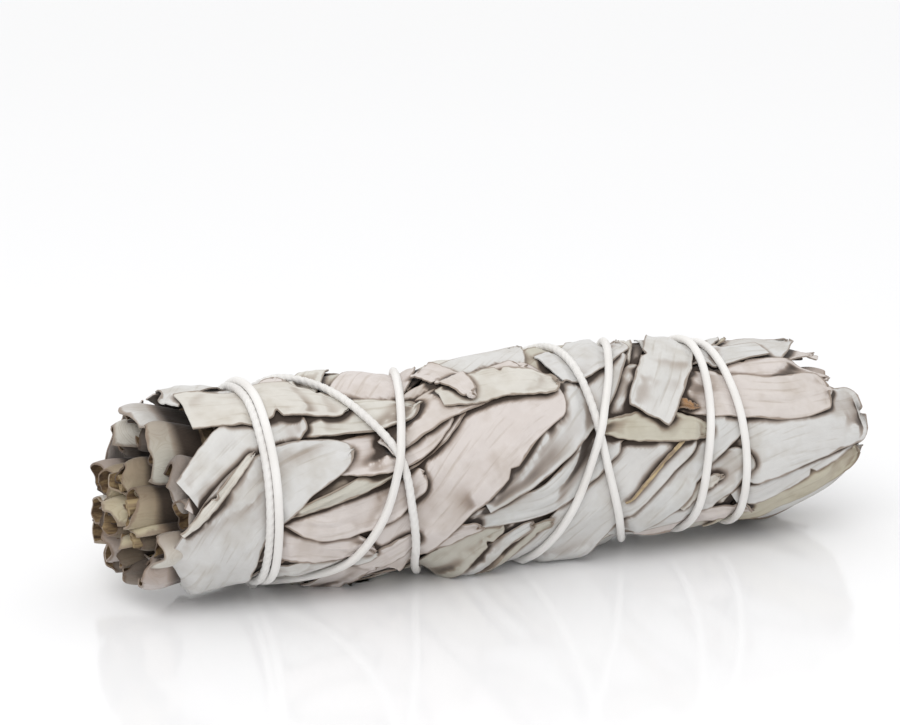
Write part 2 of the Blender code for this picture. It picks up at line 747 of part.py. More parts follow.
def spaced_points(along, around, radius):
    """Points a few millimetres apart along a finely drawn path, moved out so that the straight
    runs between them stay as far out as the path."""
    every = round(STRING_POINT_STEP / STRING_FINE_STEP)
    fine = place(along, around, radius)
    kept = np.unique(np.append(np.arange(0, len(fine), every), len(fine) - 1))
    share = np.interp(np.arange(len(fine)), kept, np.arange(len(kept)))
    left = np.minimum(share.astype(int), len(kept) - 2)
    share = share - left
    points = fine[kept]
    outwards = points * (0, 1, 1) / np.hypot(points[:, 1], points[:, 2])[:, None]
    for _ in range(SETTLE_STEPS):
        run = points[left] * (1 - share)[:, None] + points[left + 1] * share[:, None]
        short = np.maximum(radius - np.hypot(run[:, 1], run[:, 2]), 0.0)
        lift = np.zeros(len(kept))
        np.maximum.at(lift, left, short * (1 - share))
        np.maximum.at(lift, left + 1, short * share)
        points = points + outwards * lift[:, None]
    return points


def tube(name, points, radius):
    """A round cord through the points, with closed ends."""
    curve = bpy.data.curves.new(name, "CURVE")
    curve.dimensions = "3D"
    curve.bevel_depth = radius
    curve.bevel_resolution = 2
    curve.use_fill_caps = True
    spline = curve.splines.new("POLY")
    spline.points.add(len(points) - 1)
    for knot, point in zip(spline.points, points):
        knot.co = (*point, 1.0)
    obj = bpy.data.objects.new(name, curve)
    bpy.context.scene.collection.objects.link(obj)
    graph = bpy.context.evaluated_depsgraph_get()
    mesh = bpy.data.meshes.new_from_object(obj.evaluated_get(graph))
    bpy.data.objects.remove(obj)
    bm = bmesh.new()
    bm.from_mesh(mesh)
    bmesh.ops.remove_doubles(bm, verts=bm.verts, dist=0.001 * MM)
    return object_from(name, bm)


def knot_pieces(wrap, start):
    """The knot's lump and the string's two short tails, which lie on the leaves behind it."""
    bm = bmesh.new()
    upright = Matrix.Rotation(KNOT_AROUND, 4, "X") @ Matrix.Rotation(math.radians(35), 4, "Y")
    bmesh.ops.create_uvsphere(
        bm,
        u_segments=8,
        v_segments=6,
        radius=KNOT_RADIUS,
        matrix=Matrix.Translation(start) @ upright @ Matrix.Diagonal((1.35, 0.9, 1.0, 1.0)),
    )
    pieces = [object_from("knot", bm)]
    for to_along, to_around in KNOT_TAILS:
        steps = np.linspace(0, 1, 25)
        along = KNOT_ALONG + (to_along * MM - KNOT_ALONG) * steps**1.3
        around = KNOT_AROUND + (math.radians(to_around) - KNOT_AROUND) * steps
        radius = pulled_taut(string_need(wrap, along, around))
        radius = radius + (2 * STRING_RADIUS) * (1 - steps) ** 2
        pieces.append(tube("tail", place(along, around, radius)[::4], STRING_RADIUS))
    return pieces


def binding_string(wrap, work):
    """The whole string: its winding, joined to the knot where both its ends meet."""
    points = string_path(wrap)
    string = tube("binding_string", points, STRING_RADIUS)
    work.objects.link(string)
    joined = bpy.data.collections.new("knot_joined")
    work.children.link(joined)
    knot = (Vector(points[0]) + Vector(points[-1])) / 2
    outwards = Vector((0.0, knot.y, knot.z)).normalized()
    for one in knot_pieces(wrap, knot + outwards * KNOT_RAISED):
        joined.objects.link(one)
    boolean(string, "UNION", joined)
    bpy.data.collections.remove(joined)
    work.objects.unlink(string)
    return string


def bounds(objects):
    points = np.array([obj.matrix_world @ v.co for obj in objects for v in obj.data.vertices])
    return points.min(axis=0), points.max(axis=0)


def main():
    clear_scene()
    bunch = bpy.data.collections.new("sage_bunch")
    work = bpy.data.collections.new("cutters")
    bpy.context.scene.collection.children.link(bunch)
    bpy.context.scene.collection.children.link(work)

    sage = material("dried_sage_leaf", (0.62, 0.59, 0.52), 0.85)
    wood = material("sage_stem_wood", (0.42, 0.31, 0.18), 0.8)
    cotton = material("cotton_string", (0.84, 0.81, 0.75), 0.9)

    wrap = Wrap(string_line())
    grid = LeafGrid()
    laid = lay_leaves(wrap, grid)
    surface = surface_height(laid)

    parts = []
    for sprig in range(OUTER_SPRIGS + 1):
        name = f"sprig_{sprig + 1}_leaves"
        if sprig < OUTER_SPRIGS:
            core = wedge_core(wrap, sprig)
            leaves = wedge_scrolls(sprig)
        else:
            core = cylinder("core", HEART_RADIUS, HEART_BUTT, HEART_TIP, sides=HEART_SIDES)
            leaves = heart_scrolls()
        for one in laid:
            if one.sprig == sprig:
                inner = place(one.along, one.around, one.inner)
                outer = place(one.along, one.around, one.outer)
                leaves.append(grid.thickened("leaf", inner, outer))
        parts.append((leafy_sprig(name, core, stem_bore(sprig), leaves, surface, work), sage))
        parts.append((stem(sprig), wood))
    parts.append((binding_string(wrap, work), cotton))

    origin = bpy.data.objects.new("sage_bunch", None)
    bunch.objects.link(origin)
    for obj, finish in parts:
        bunch.objects.link(obj)
        obj.data.materials.clear()
        obj.data.materials.append(finish)
        obj.parent = origin
    bpy.data.collections.remove(work)

    origin.matrix_world = lying()
    bpy.context.view_layer.update()
    low, high = bounds([obj for obj, finish in parts])
    middle = (low + high) / 2
    origin.matrix_world = Matrix.Translation((-middle[0], -middle[1], -surface)) @ lying()


main()
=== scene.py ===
"""Looks for a bunch of dried white sage, tied with cotton string.

The bunch lies along X with its cut ends at -X. A place on it is (along, around, radius): metres
along its axis from the middle, an angle about the axis, and metres from the axis. Around is 0
facing -Y, a quarter turn at the top and minus a quarter turn at the underside.
"""

import functools
import math
import random
from dataclasses import dataclass

import bpy
import numpy as np
from mathutils import Euler, Matrix, Vector


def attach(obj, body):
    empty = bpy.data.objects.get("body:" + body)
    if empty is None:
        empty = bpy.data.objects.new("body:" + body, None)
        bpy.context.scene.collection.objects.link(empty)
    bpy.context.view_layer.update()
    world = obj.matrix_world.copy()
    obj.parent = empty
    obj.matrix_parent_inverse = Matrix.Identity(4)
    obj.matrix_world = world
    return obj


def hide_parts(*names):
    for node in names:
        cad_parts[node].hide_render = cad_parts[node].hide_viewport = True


bl_info = {
    "name": "Tied Sage Bunch",
    "version": (1, 0, 0),
    "blender": (4, 5, 0),
    "location": "View3D > Sidebar > Sage Bunch",
    "description": "Dresses a tied bunch of dried white sage: leaves, rolled leaf ends, stems and string",
    "category": "Add Mesh",
}

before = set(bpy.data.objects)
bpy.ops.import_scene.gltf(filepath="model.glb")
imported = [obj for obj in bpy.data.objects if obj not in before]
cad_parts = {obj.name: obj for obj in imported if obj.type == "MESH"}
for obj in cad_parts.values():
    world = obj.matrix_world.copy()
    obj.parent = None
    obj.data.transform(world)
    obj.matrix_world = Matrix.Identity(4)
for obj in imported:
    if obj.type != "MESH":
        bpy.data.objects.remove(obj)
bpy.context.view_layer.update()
MM = 0.001
SEED = 31
BODY = "root"

# How the bunch lies, as the solids do.
LIES_ROLLED = math.radians(-0.39)
LIES_PITCHED = math.radians(-0.52)
HEART_STEM_CUT = -73.918 * MM  # along, where the middle stem's cut end is

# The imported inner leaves, as the solids have them.
PACKED_RADIUS = 15.6 * MM
BUTT_END = -71 * MM
SHOULDER = 52 * MM
SHOULDER_LENGTH = 26 * MM
BUTT_TAPER_FROM = -58 * MM
BUTT_TAPER = 0.07
FLAT_DEPTH = 14.7 * MM
LUMP = 0.45 * MM
LUMPS_AROUND = ((3, 9 * MM), (2, -14 * MM))  # how many round the bunch, and how they twist along it
TIPS_ROUNDED_TO = 0.985  # short of 1, at which the tips would close to a point
LEAST_PINCHED_RADIUS = 9.7 * MM
LOW_LUMPS = ((-32, -110), (-10, -75), (13, -68), (58, -104))
LOW_LUMP = 1.5 * MM
LOW_LUMP_WIDTH = 11 * MM
PINCH_DEPTH = 2.2 * MM
PINCH_WIDTH = 6 * MM
UNDER_PINCH_DEPTH = 2.0 * MM  # less than in the solids, as thin leaves let the string sink in
UNDER_PINCH_WIDTH = 8.5 * MM

# The leafy stems.
OUTER_SPRIGS = 7
WEDGE = 2 * math.pi / OUTER_SPRIGS
WEDGE_PHASE = math.radians(8)
STEM_RADIUS = 1.5 * MM
STEM_TIP_RADIUS = 1.0 * MM
STEM_FROM_AXIS = 7.0 * MM
STEM_CUT = -73.5 * MM
STEM_CUT_DEEPER = 1.4 * MM  # among the rolled leaf ends the stems are cut that much shorter
STEM_CUT_SPREAD = 0.5 * MM
STEM_SIDES = 24
STEM_TIP = 38 * MM

# The outer leaves.
LEAF_ROOT_WIDTH = 4.0 * MM
LEAF_TIP_WIDTH = 4.6 * MM
LEAF_SPACING = 13.5 * MM
FIRST_LEAF = 40 * MM
LAST_LEAF = -68 * MM
LEAF_REACH = 77 * MM
BUTT_LEAVES = (128, 180, 231)
BUTT_LEAF_ALONG = -66 * MM
FACING_GRID = (97, 27)  # rows and columns of points in a leaf that shows, and in one that hardly does
OTHER_GRID = (41, 13)
PACKED_GRID = (120, 97)
LEAF_GAP = 0.05 * MM
CORE_FROM = -60 * MM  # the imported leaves' own ends, behind the rolled ends
CORE_TO = 68 * MM
COURSE_RAISED = 1.0 * MM  # thin leaves fill less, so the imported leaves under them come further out
# how much further the leaves come out on the top side: millimetres along, and millimetres out
TOP_FULLNESS = (
    (-80, 4.6), (-66, 5.6), (-50, 5.0), (-24, 4.8), (-6, 5.6),
    (8, 4.8), (20, 3.5), (40, 3.1), (56, 2.2), (78, 1.2),
)
PACKED_SHARE = 0.6  # of that fullness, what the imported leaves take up
BACK_RAISED = 1.6 * MM
FRONT_LOWERED = 0.8 * MM  # where more leaves lie over one another
CUT_END_LIFTED_FROM = -50 * MM  # from here to the cut end the underside rises
CUT_END_LIFTED = 2.4 * MM
CUT_END_LIFTED_IN = 8 * MM  # the length in which it rises that far
TUCK_FROM = -63 * MM  # beyond this the leaves' ends turn in over the cut end
TUCK = 3.8 * MM
TUCK_LENGTH = 9 * MM
TUCK_BELOW = 0.9  # how much sooner the ends below turn in, in tuck lengths
TUCK_BELOW_OVER = 7 * MM
TUCK_MOST = 1.6
DRAPE_STEPS = 12
LAY_FINELY = 4  # a laid leaf is recorded at that many places between its points
BROAD_LENGTH, BROAD_WIDTH = (36, 47), (13, 17)  # millimetres, the least and the most
BROAD_STRAY = 12  # degrees either way, in its heading and in its bend
SLENDER_LEAVES = 44
SLENDER_LENGTH, SLENDER_WIDTH = (24, 38), (5, 10)
SLENDER_STRAY = 16
BUTT_LEAF_LENGTH, BUTT_LEAF_WIDTH = (24, 30), (12, 14)
BUTT_LEAF_HEADING, BUTT_LEAF_STRAY = 84, 4  # degrees from +X
ROOTS_FROM, ROOTS_TO = 0.22, 0.5  # where in its own wedge a leaf may root, as shares of the wedge
ROOT_BACK_MOST, ROOT_BACK_STEP = 22, 0.5  # millimetres that a root may be moved back
QUARTERS = (0.25, 0.5, 0.75, 1.0)  # the steps in which a slanting leaf's line is drawn
MEAN_QUARTER = 0.625
BUTT_REACH = -74.5 * MM  # no outer leaf reaches far past this
HELD_BACK = 0.9  # the share of what would reach too far that is taken back
TIP_RAGGED, SQUARE_TIP_RAGGED = 0.5 * MM, 0.12 * MM
TIP_ROUNDED_FROM = 0.94  # the share of its length from which a leaf's tip is rounded
SQUARE_TIP_ROUNDED = 0.4  # the share of that rounding that a square tip has
LEAST_HALF_WIDTH = 0.25 * MM
TORN = 0.3  # the share of margins that have a tear
TEAR_LENGTH = 0.03  # each way from its middle, as a share of the leaf's length
TEAR_DEPTH = (0.5, 1.6)  # millimetres, the least and the most
COVERED_FROM = 0.12 * MM  # a leaf this deep under others begins to be held down by them
COVERED_OVER = 0.35 * MM
RIB_HEIGHT, RIB_WIDTH = 0.16 * MM, 0.7 * MM  # the midrib, raised over its leaf
PLEATS = 4  # the lengthwise folds in a leaf
BILLOW = 0.55 * MM  # how far a leaf's middle rises off what is under it
A_TURN = 6.3  # radians, for random phases

# The string.
STRING_RADIUS = 0.82 * MM
STRING_STEP = 0.45 * MM
STRING_RIDGE_RADIUS = 20.5 * MM
STRING_PRESS = 0.55 * MM  # how far the tight string sinks into the leaves
STRING_GROOVE = 3.2 * MM  # half the width of the groove that it makes
GROOVE_CELLS = (9, 11)  # how far the groove reaches in the wrap's cells, along and around
GROOVE_PAST = 1.2  # where the groove's hold ends, in its own half widths
STRING_SUNK = 0.85  # leaves under the string lie this many of its radii in from its middle
CROSSING_SUNK = 0.9  # how much of the strings' thickness is left where one crosses another
STRING_OFF_TABLE = 1.15  # the string's middle stays this many of its radii above the table
STRING_ROOM = 0.8 * MM  # leaves that are further than this under the string lift as they like
STRING_GROOVE_DEPTH = 2.4 * MM  # how far the groove's sides rise
UNLIMITED = 0.05  # metres out, further than anything reaches
STRING_EASING = 15  # steps over which it bends smoothly
TAUT_STEPS = 60
CROSSING_MIN_STEPS = 24
CROSSING_ROUNDS = 3
KNOT_AROUND = math.radians(150)
KNOT_ALONG = -48.1 * MM
KNOT_TAILS = ((-56.5, 163), (-43.0, 170))  # where each ends: millimetres along, degrees around
KNOT_SIZE = 0.62 * MM  # its loops reach three of these
KNOT_RAISED = 0.6 * MM
KNOT_POINTS, TAIL_POINTS = 60, 40
PLY_SIDES = 15  # round the string's section
PLY_GROOVE = 0.14  # how deep the grooves between the plies are, as a share of its radius

# The string's winding, much as the solids have it: (degrees around, falling; millimetres along).
STRING_ROUTE = (
    (150, -48.9), (90, -48.9), (0, -48.9), (-90, -49.3), (-180, -48.9), (-210, -46.4), (-240, -41.0),
    (-267, -34.6), (-300, -28.4), (-327, -24.3), (-360, -21.9), (-412, -18.6), (-515, -3.0),
    (-614, 13.4), (-684, 16.4), (-715, 18.4), (-771, 23.8), (-870, 38.0), (-974, 45.9),
    (-1031, 46.6), (-1100, 47.3), (-1125, 47.5), (-1230, 44.6), (-1334, 42.3), (-1374, 41.8),
    (-1436, 38.8), (-1483, 37.2), (-1590, 33.4), (-1694, 27.2), (-1734, 21.9), (-1766, 16.6),
    (-1805, 12.2), (-1869, 4.4), (-1960, -6.6), (-2054, -16.4), (-2110, -22.2), (-2127, -24.3),
    (-2162, -27.8), (-2205, -37.0), (-2222, -41.8), (-2250, -45.6), (-2290, -47.0), (-2370, -47.4),
    (-2460, -47.6), (-2550, -47.4), (-2640, -47.4), (-2730, -47.4),
)

# The camera, which looks as the photograph does.
CAMERA_TURN = math.radians(21.9)
CAMERA_HEIGHT = math.radians(18.5)
CAMERA_DISTANCE = 0.52
CAMERA_LOOKS_AT = Vector((0.0, 0.0, 0.0185))
CAMERA_SEES_IT_AT = (490, 463)  # pixels
IMAGE_SIZE = (900, 725)
FOCAL_PIXELS = 2690
SENSOR_WIDTH = 36.0  # millimetres on the sensor
NEAREST_SEEN = 0.01
FLOOR_SIZE = 6
KEY_LIGHT_SIZE = 0.5
KEY_LIGHT_AT = Vector((-0.25, -0.35, 0.6))

# places on the leaf's colour ramp
COOL, IVORY, BLUSH, OLIVE, HAY, STRAW, TAN = 0.1, 0.35, 0.6, 0.8, 0.87, 0.93, 1.05

FACTOR, COLOUR_A, COLOUR_B, MIXED = 0, 6, 7, 2  # a Mix node's sockets when it mixes colours


def linear(code):
    """An sRGB hex colour as linear red, green and blue."""
    parts = [int(code[k : k + 2], 16) / 255 for k in (1, 3, 5)]
    return tuple(part / 12.92 if part <= 0.04045 else ((part + 0.055) / 1.055) ** 2.4 for part in parts)


def add_node(tree, kind, settings=None, inputs=None, links=None):
    """Adds a node. settings are its properties, inputs its values, and links what feeds it."""
    node = tree.nodes.new(kind)
    for name, value in (settings or {}).items():
        setattr(node, name, value)
    for name, value in (inputs or {}).items():
        node.inputs[name].default_value = value
    for name, source in (links or {}).items():
        tree.links.new(source, node.inputs[name])
    return node


def ramp_stops(node, stops):
    """Sets a colour ramp's stops: (place, sRGB hex)."""
    elements = node.color_ramp.elements
    while len(elements) > 1:
        elements.remove(elements[-1])
    elements[0].position = stops[0][0]
    elements[0].color = (*linear(stops[0][1]), 1.0)
    for at, code in stops[1:]:
        elements.new(at).color = (*linear(code), 1.0)
    return node


def new_material(name):
    """A new material, its node tree and its shader."""
    made = bpy.data.materials.new(name)
    made.use_nodes = True
    return made, made.node_tree, made.node_tree.nodes["Principled BSDF"]


# Materials.


def attribute(tree, name):
    """A value that the mesh carries at each of its points."""
    return add_node(tree, "ShaderNodeAttribute", {"attribute_name": name}).outputs["Fac"]


def dress(tree, shader, colour, height, strength, distance):
    """Gives a shader its colour and its relief."""
    tree.links.new(colour.outputs["Color"], shader.inputs["Base Color"])
    bump = add_node(
        tree, "ShaderNodeBump", inputs={"Strength": strength, "Distance": distance},
        links={"Height": height.outputs["Fac"]},
    )
    tree.links.new(bump.outputs["Normal"], shader.inputs["Normal"])


def dried_sage_leaf():
    """White sage leaf, dried: a dull blade under a felt of fine white hairs, so it is pale and
    scatters light softly. It browns along its thin margin. Where other leaves cover it, it browns
    and darkens: partly its own colour, partly painted shade in the crevices between the leaves."""
    made, tree, shader = new_material("dried_sage_leaf")
    where = add_node(tree, "ShaderNodeTexCoord").outputs
    shades = add_node(tree, "ShaderNodeValToRGB", links={"Fac": attribute(tree, "tint")})
    ramp_stops(shades, (
        (0.0, "#C9CAC8"), (COOL, "#CDCCCA"), (IVORY, "#CECBC3"), (BLUSH, "#D0C8C4"), (OLIVE, "#BDBAAF"),
        (0.92, "#C2B48E"), (1.0, "#AA835C"),
    ))
    # blotches 8 mm across, as a leaf dries unevenly
    blotch = add_node(
        tree, "ShaderNodeTexNoise", inputs={"Scale": 1 / 0.008, "Detail": 3.0, "Roughness": 0.6},
        links={"Vector": where["Object"]},
    )
    blotched = add_node(tree, "ShaderNodeValToRGB", links={"Fac": blotch.outputs["Fac"]})
    ramp_stops(blotched, ((0.32, "#DCD5CB"), (0.52, "#FFFFFF"), (0.75, "#EFECEA")))
    shaded = add_node(
        tree, "ShaderNodeMix", {"data_type": "RGBA", "blend_type": "MULTIPLY"}, {FACTOR: 0.5},
        {COLOUR_A: shades.outputs["Color"], COLOUR_B: blotched.outputs["Color"]},
    )
    # creases follow the blade, about 1 mm apart and 15 mm long; the colour darkens in their hollows, partly
    # the leaf's own faint streaks and partly painted shade
    along_blade = add_node(
        tree, "ShaderNodeMapping", inputs={"Scale": (1.0, 1 / 15, 1.0)}, links={"Vector": where["UV"]}
    )
    creases = add_node(
        tree, "ShaderNodeTexNoise", inputs={"Scale": 0.9, "Detail": 4.0, "Roughness": 0.55},
        links={"Vector": along_blade.outputs["Vector"]},
    )
    # painted shade in the crease hollows, together with the leaf's own faint streaks
    crease_shade_ramp = add_node(tree, "ShaderNodeValToRGB", links={"Fac": creases.outputs["Fac"]})
    ramp_stops(crease_shade_ramp, ((0.33, "#D9D2C8"), (0.45, "#FFFFFF")))
    crease_shaded = add_node(
        tree, "ShaderNodeMix", {"data_type": "RGBA", "blend_type": "MULTIPLY"}, {FACTOR: 0.55},
        {COLOUR_A: shaded.outputs[MIXED], COLOUR_B: crease_shade_ramp.outputs["Color"]},
    )

    # the margin browns about 0.15 mm in, and in patches 4 mm long about 0.4 mm
    patchy = add_node(
        tree, "ShaderNodeTexNoise", inputs={"Scale": 1 / 0.004, "Detail": 3.0},
        links={"Vector": where["Object"]},
    )
    reach = add_node(
        tree, "ShaderNodeMapRange", inputs={"From Min": 0.5, "From Max": 0.8, "To Max": 0.45},
        links={"Value": patchy.outputs["Fac"]},
    )
    from_margin = add_node(
        tree, "ShaderNodeMath", {"operation": "SUBTRACT"},
        links={0: attribute(tree, "margin"), 1: reach.outputs["Result"]},
    )
    browning = add_node(
        tree, "ShaderNodeMapRange", {"interpolation_type": "SMOOTHSTEP"},
        {"From Min": 0.0, "From Max": 0.3, "To Min": 0.8, "To Max": 0.0}, {"Value": from_margin.outputs[0]},
    )
    # a leaf's own thickness is 0.27 mm, so what lies deeper is covered: it browns, partly its own
    # colour and partly painted shade, then darkens to near black, painted shade in the crevices
    depth = attribute(tree, "deep")
    cover_browning_and_shade = add_node(
        tree, "ShaderNodeMapRange", {"interpolation_type": "SMOOTHSTEP"},
        {"From Min": 0.31, "From Max": 0.46, "To Min": 0.0, "To Max": 0.5}, {"Value": depth},
    )
    # painted shade: near black in the crevice beside the edge of a leaf that lies over this one
    covered = add_node(
        tree, "ShaderNodeMapRange", {"interpolation_type": "SMOOTHSTEP"},
        {"From Min": 0.3, "From Max": 0.6, "To Min": 0.0, "To Max": 0.97}, {"Value": depth},
    )
    colour = crease_shaded.outputs[MIXED]
    # the margin's browning is the leaf's own colour; the browning under cover is partly its own colour and
    # partly painted shade
    for share, code in ((browning, "#857465"), (cover_browning_and_shade, "#A88B72"), (covered, "#33271E")):
        mixed = add_node(
            tree, "ShaderNodeMix", {"data_type": "RGBA"}, {COLOUR_B: (*linear(code), 1.0)},
            {FACTOR: share.outputs["Result"], COLOUR_A: colour},
        )
        colour = mixed.outputs[MIXED]
    tree.links.new(colour, shader.inputs["Base Color"])

    # the felt of hairs is too fine to show, and is drawn 0.4 mm; the dimples are 4 mm across
    felt = add_node(
        tree, "ShaderNodeTexNoise", inputs={"Scale": 1 / 0.0004, "Detail": 2.0},
        links={"Vector": where["Object"]},
    )
    dimples = add_node(
        tree, "ShaderNodeTexNoise", inputs={"Scale": 1 / 0.004, "Detail": 3.0, "Roughness": 0.5},
        links={"Vector": where["Object"]},
    )
    normal = None
    reliefs = ((dimples, 0.5, 0.6 * MM), (creases, 0.5, 0.35 * MM), (felt, 0.2, 0.06 * MM))
    for height, strength, distance in reliefs:
        bump = add_node(
            tree, "ShaderNodeBump", inputs={"Strength": strength, "Distance": distance},
            links={"Height": height.outputs["Fac"], **({"Normal": normal} if normal else {})},
        )
        normal = bump.outputs["Normal"]
    tree.links.new(normal, shader.inputs["Normal"])
    shader.inputs["Roughness"].default_value = 0.85
    shader.inputs["IOR"].default_value = 1.45
    shader.inputs["Sheen Weight"].default_value = 0.15
    shader.inputs["Sheen Roughness"].default_value = 0.5
    return made


def rolled_leaf_inside_brown_and_shade():
    """The inside of a rolled, dried leaf base: tan to dark brown, creased along its length and without
    its felt. Its brown is partly its own colour and partly painted shade of the roll's hollow,
    darkest in the crease hollows."""
    made, tree, shader = new_material("rolled_leaf_inside_brown_and_shade")
    where = add_node(tree, "ShaderNodeTexCoord").outputs
    # creases run along the leaf, about 1 mm apart
    stretched = add_node(
        tree, "ShaderNodeMapping", inputs={"Scale": (1 / 0.006, 1 / 0.0012, 1 / 0.0012)},
        links={"Vector": where["Object"]},
    )
    creases = add_node(
        tree, "ShaderNodeTexNoise", inputs={"Scale": 1.0, "Detail": 5.0, "Roughness": 0.65},
        links={"Vector": stretched.outputs["Vector"]},
    )
    # painted shade: near black in the crease hollows
    colour = add_node(tree, "ShaderNodeValToRGB", links={"Fac": creases.outputs["Fac"]})
    ramp_stops(colour, ((0.3, "#34271C"), (0.45, "#6B5640"), (0.58, "#927B5A"), (0.8, "#B5A07C")))
    dress(tree, shader, colour, creases, 0.6, 0.35 * MM)
    shader.inputs["Roughness"].default_value = 0.8
    shader.inputs["IOR"].default_value = 1.45
    return made


def packed_leaves_brown_and_shade():
    """The crumpled, browned leaves packed inside the bunch, seen only through gaps: dull and rough,
    in crumples 3 mm across. Their dark brown is partly their own colour and partly painted shade of
    the gaps between the outer leaves."""
    made, tree, shader = new_material("packed_leaves_brown_and_shade")
    where = add_node(tree, "ShaderNodeTexCoord").outputs
    crumple = add_node(
        tree, "ShaderNodeTexNoise", inputs={"Scale": 1 / 0.003, "Detail": 5.0},
        links={"Vector": where["Object"]},
    )
    # painted shade: near black in the crumples' hollows and in the gaps
    colour = add_node(tree, "ShaderNodeValToRGB", links={"Fac": crumple.outputs["Fac"]})
    ramp_stops(colour, ((0.3, "#2E241B"), (0.5, "#5A4937"), (0.7, "#8B7A5F")))
    dress(tree, shader, colour, crumple, 0.9, 0.8 * MM)
    shader.inputs["Roughness"].default_value = 0.9
    return made


def dried_sage_stem():
    """Sage stem, dried: a thin straw-coloured bark with fine lengthwise ribs."""
    made, tree, shader = new_material("dried_sage_stem")
    where = add_node(tree, "ShaderNodeTexCoord").outputs
    # the ribs are finer than the render shows, and are drawn 0.5 mm apart, in runs of 8 mm or so
    stretched = add_node(
        tree, "ShaderNodeMapping", inputs={"Scale": (1 / 0.008, 1 / 0.0005, 1 / 0.0005)},
        links={"Vector": where["Object"]},
    )
    ribs = add_node(
        tree, "ShaderNodeTexNoise", inputs={"Scale": 1.0, "Detail": 4.0},
        links={"Vector": stretched.outputs["Vector"]},
    )
    colour = add_node(tree, "ShaderNodeValToRGB", links={"Fac": ribs.outputs["Fac"]})
    ramp_stops(colour, ((0.3, "#6B5740"), (0.5, "#8F7B5C"), (0.7, "#A8956F")))
    dress(tree, shader, colour, ribs, 0.5, 0.15 * MM)
    shader.inputs["Roughness"].default_value = 0.65
    shader.inputs["IOR"].default_value = 1.5
    return made


def twisted_cotton():
    """Bleached cotton twine: three soft plies of matte white fibre, with a faint nap."""
    made, tree, shader = new_material("twisted_cotton")
    where = add_node(tree, "ShaderNodeTexCoord").outputs
    # cotton fibres are finer than the render shows, and are drawn 0.2 mm
    fibre = add_node(
        tree, "ShaderNodeTexNoise", inputs={"Scale": 1 / 0.0002, "Detail": 3.0, "Roughness": 0.7},
        links={"Vector": where["Object"]},
    )
    # handling greys it a little, in lengths of 12 mm
    soiled = add_node(
        tree, "ShaderNodeTexNoise", inputs={"Scale": 1 / 0.012, "Detail": 2.0},
        links={"Vector": where["Object"]},
    )
    colour = add_node(tree, "ShaderNodeValToRGB", links={"Fac": soiled.outputs["Fac"]})
    ramp_stops(colour, ((0.35, "#E0DDD9"), (0.6, "#E8E6E3")))
    dress(tree, shader, colour, fibre, 0.35, 0.08 * MM)
    shader.inputs["Roughness"].default_value = 0.9
    shader.inputs["Sheen Weight"].default_value = 0.3
    shader.inputs["Sheen Roughness"].default_value = 0.4
    return made


def white_acrylic():
    """The table top: polished white acrylic sheet, which mirrors faintly at a low angle."""
    made, tree, shader = new_material("white_acrylic")
    where = add_node(tree, "ShaderNodeTexCoord").outputs
    # its polish varies a little over 125 mm
    haze = add_node(
        tree, "ShaderNodeTexNoise", inputs={"Scale": 8.0, "Detail": 2.0}, links={"Vector": where["Object"]}
    )
    rough = add_node(
        tree, "ShaderNodeMapRange", inputs={"To Min": 0.1, "To Max": 0.14},
        links={"Value": haze.outputs["Fac"]},
    )
    tree.links.new(rough.outputs["Result"], shader.inputs["Roughness"])
    shader.inputs["Base Color"].default_value = (*linear("#F2F2F3"), 1.0)
    shader.inputs["IOR"].default_value = 1.49
    return made


@functools.cache
def finish(maker):
    """The material that maker makes, made once."""
    return maker()


# The bunch's own form, by the same rules as the solids.


def place(along, around, radius):
    """The point, or an array of points, at that place, in the bunch's own axes."""
    along, around, radius = np.broadcast_arrays(along, around, radius)
    return np.stack([along, -radius * np.cos(around), radius * np.sin(around)], axis=-1)


@functools.cache
def lying():
    """From the bunch's own axes to the frame, by the middle stem's cut end."""
    points = np.array([vert.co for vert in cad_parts["sprig_8_stem"].data.vertices])
    cut = points[points[:, 0] < points[:, 0].mean()]
    turned = Euler((LIES_ROLLED, LIES_PITCHED, 0.0)).to_matrix()
    origin = Vector((cut.min(axis=0) + cut.max(axis=0)) / 2) - turned @ Vector((HEART_STEM_CUT, 0, 0))
    return Matrix.Translation(origin) @ turned.to_4x4()


def bunch_radius(along):
    """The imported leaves' radius: rounded off at the tips, and drawn in a little at the cut end."""
    past = np.clip((along - SHOULDER) / SHOULDER_LENGTH, 0.0, TIPS_ROUNDED_TO)
    rounded = np.sqrt(1.0 - past**2)
    butt = np.clip((BUTT_TAPER_FROM - along) / (BUTT_TAPER_FROM - BUTT_END), 0.0, 1.2)
    return PACKED_RADIUS * rounded * (1.0 - BUTT_TAPER * butt**2)


def fullness(along, around):
    """How much further out the thin leaves lie than the solids' packed ones."""
    knots, raised = np.array(TOP_FULLNESS).T * MM
    top = np.interp(along, knots, raised) * np.clip(np.sin(around), 0.0, 1.0)
    facing = np.cos(around)
    below = np.clip(-np.sin(around), 0.0, 1.0)
    lifted = CUT_END_LIFTED * below * np.clip((CUT_END_LIFTED_FROM - along) / CUT_END_LIFTED_IN, 0.0, 1.0)
    return top - lifted + BACK_RAISED * np.clip(-facing, 0.0, 1.0) - FRONT_LOWERED * np.clip(facing, 0.0, 1.0)


def smooth_curve(knots, values, at):
    """A cubic through the knots that turns smoothly at each of them."""
    slopes = np.gradient(values, knots)
    right = np.clip(np.searchsorted(knots, at), 1, len(knots) - 1)
    left = right - 1
    width = knots[right] - knots[left]
    share = (at - knots[left]) / width
    near = (1 + 2 * share) * (1 - share) ** 2 * values[left]
    far = share**2 * (3 - 2 * share) * values[right]
    lean = share * (1 - share) * width * ((1 - share) * slopes[left] - share * slopes[right])
    return near + far + lean


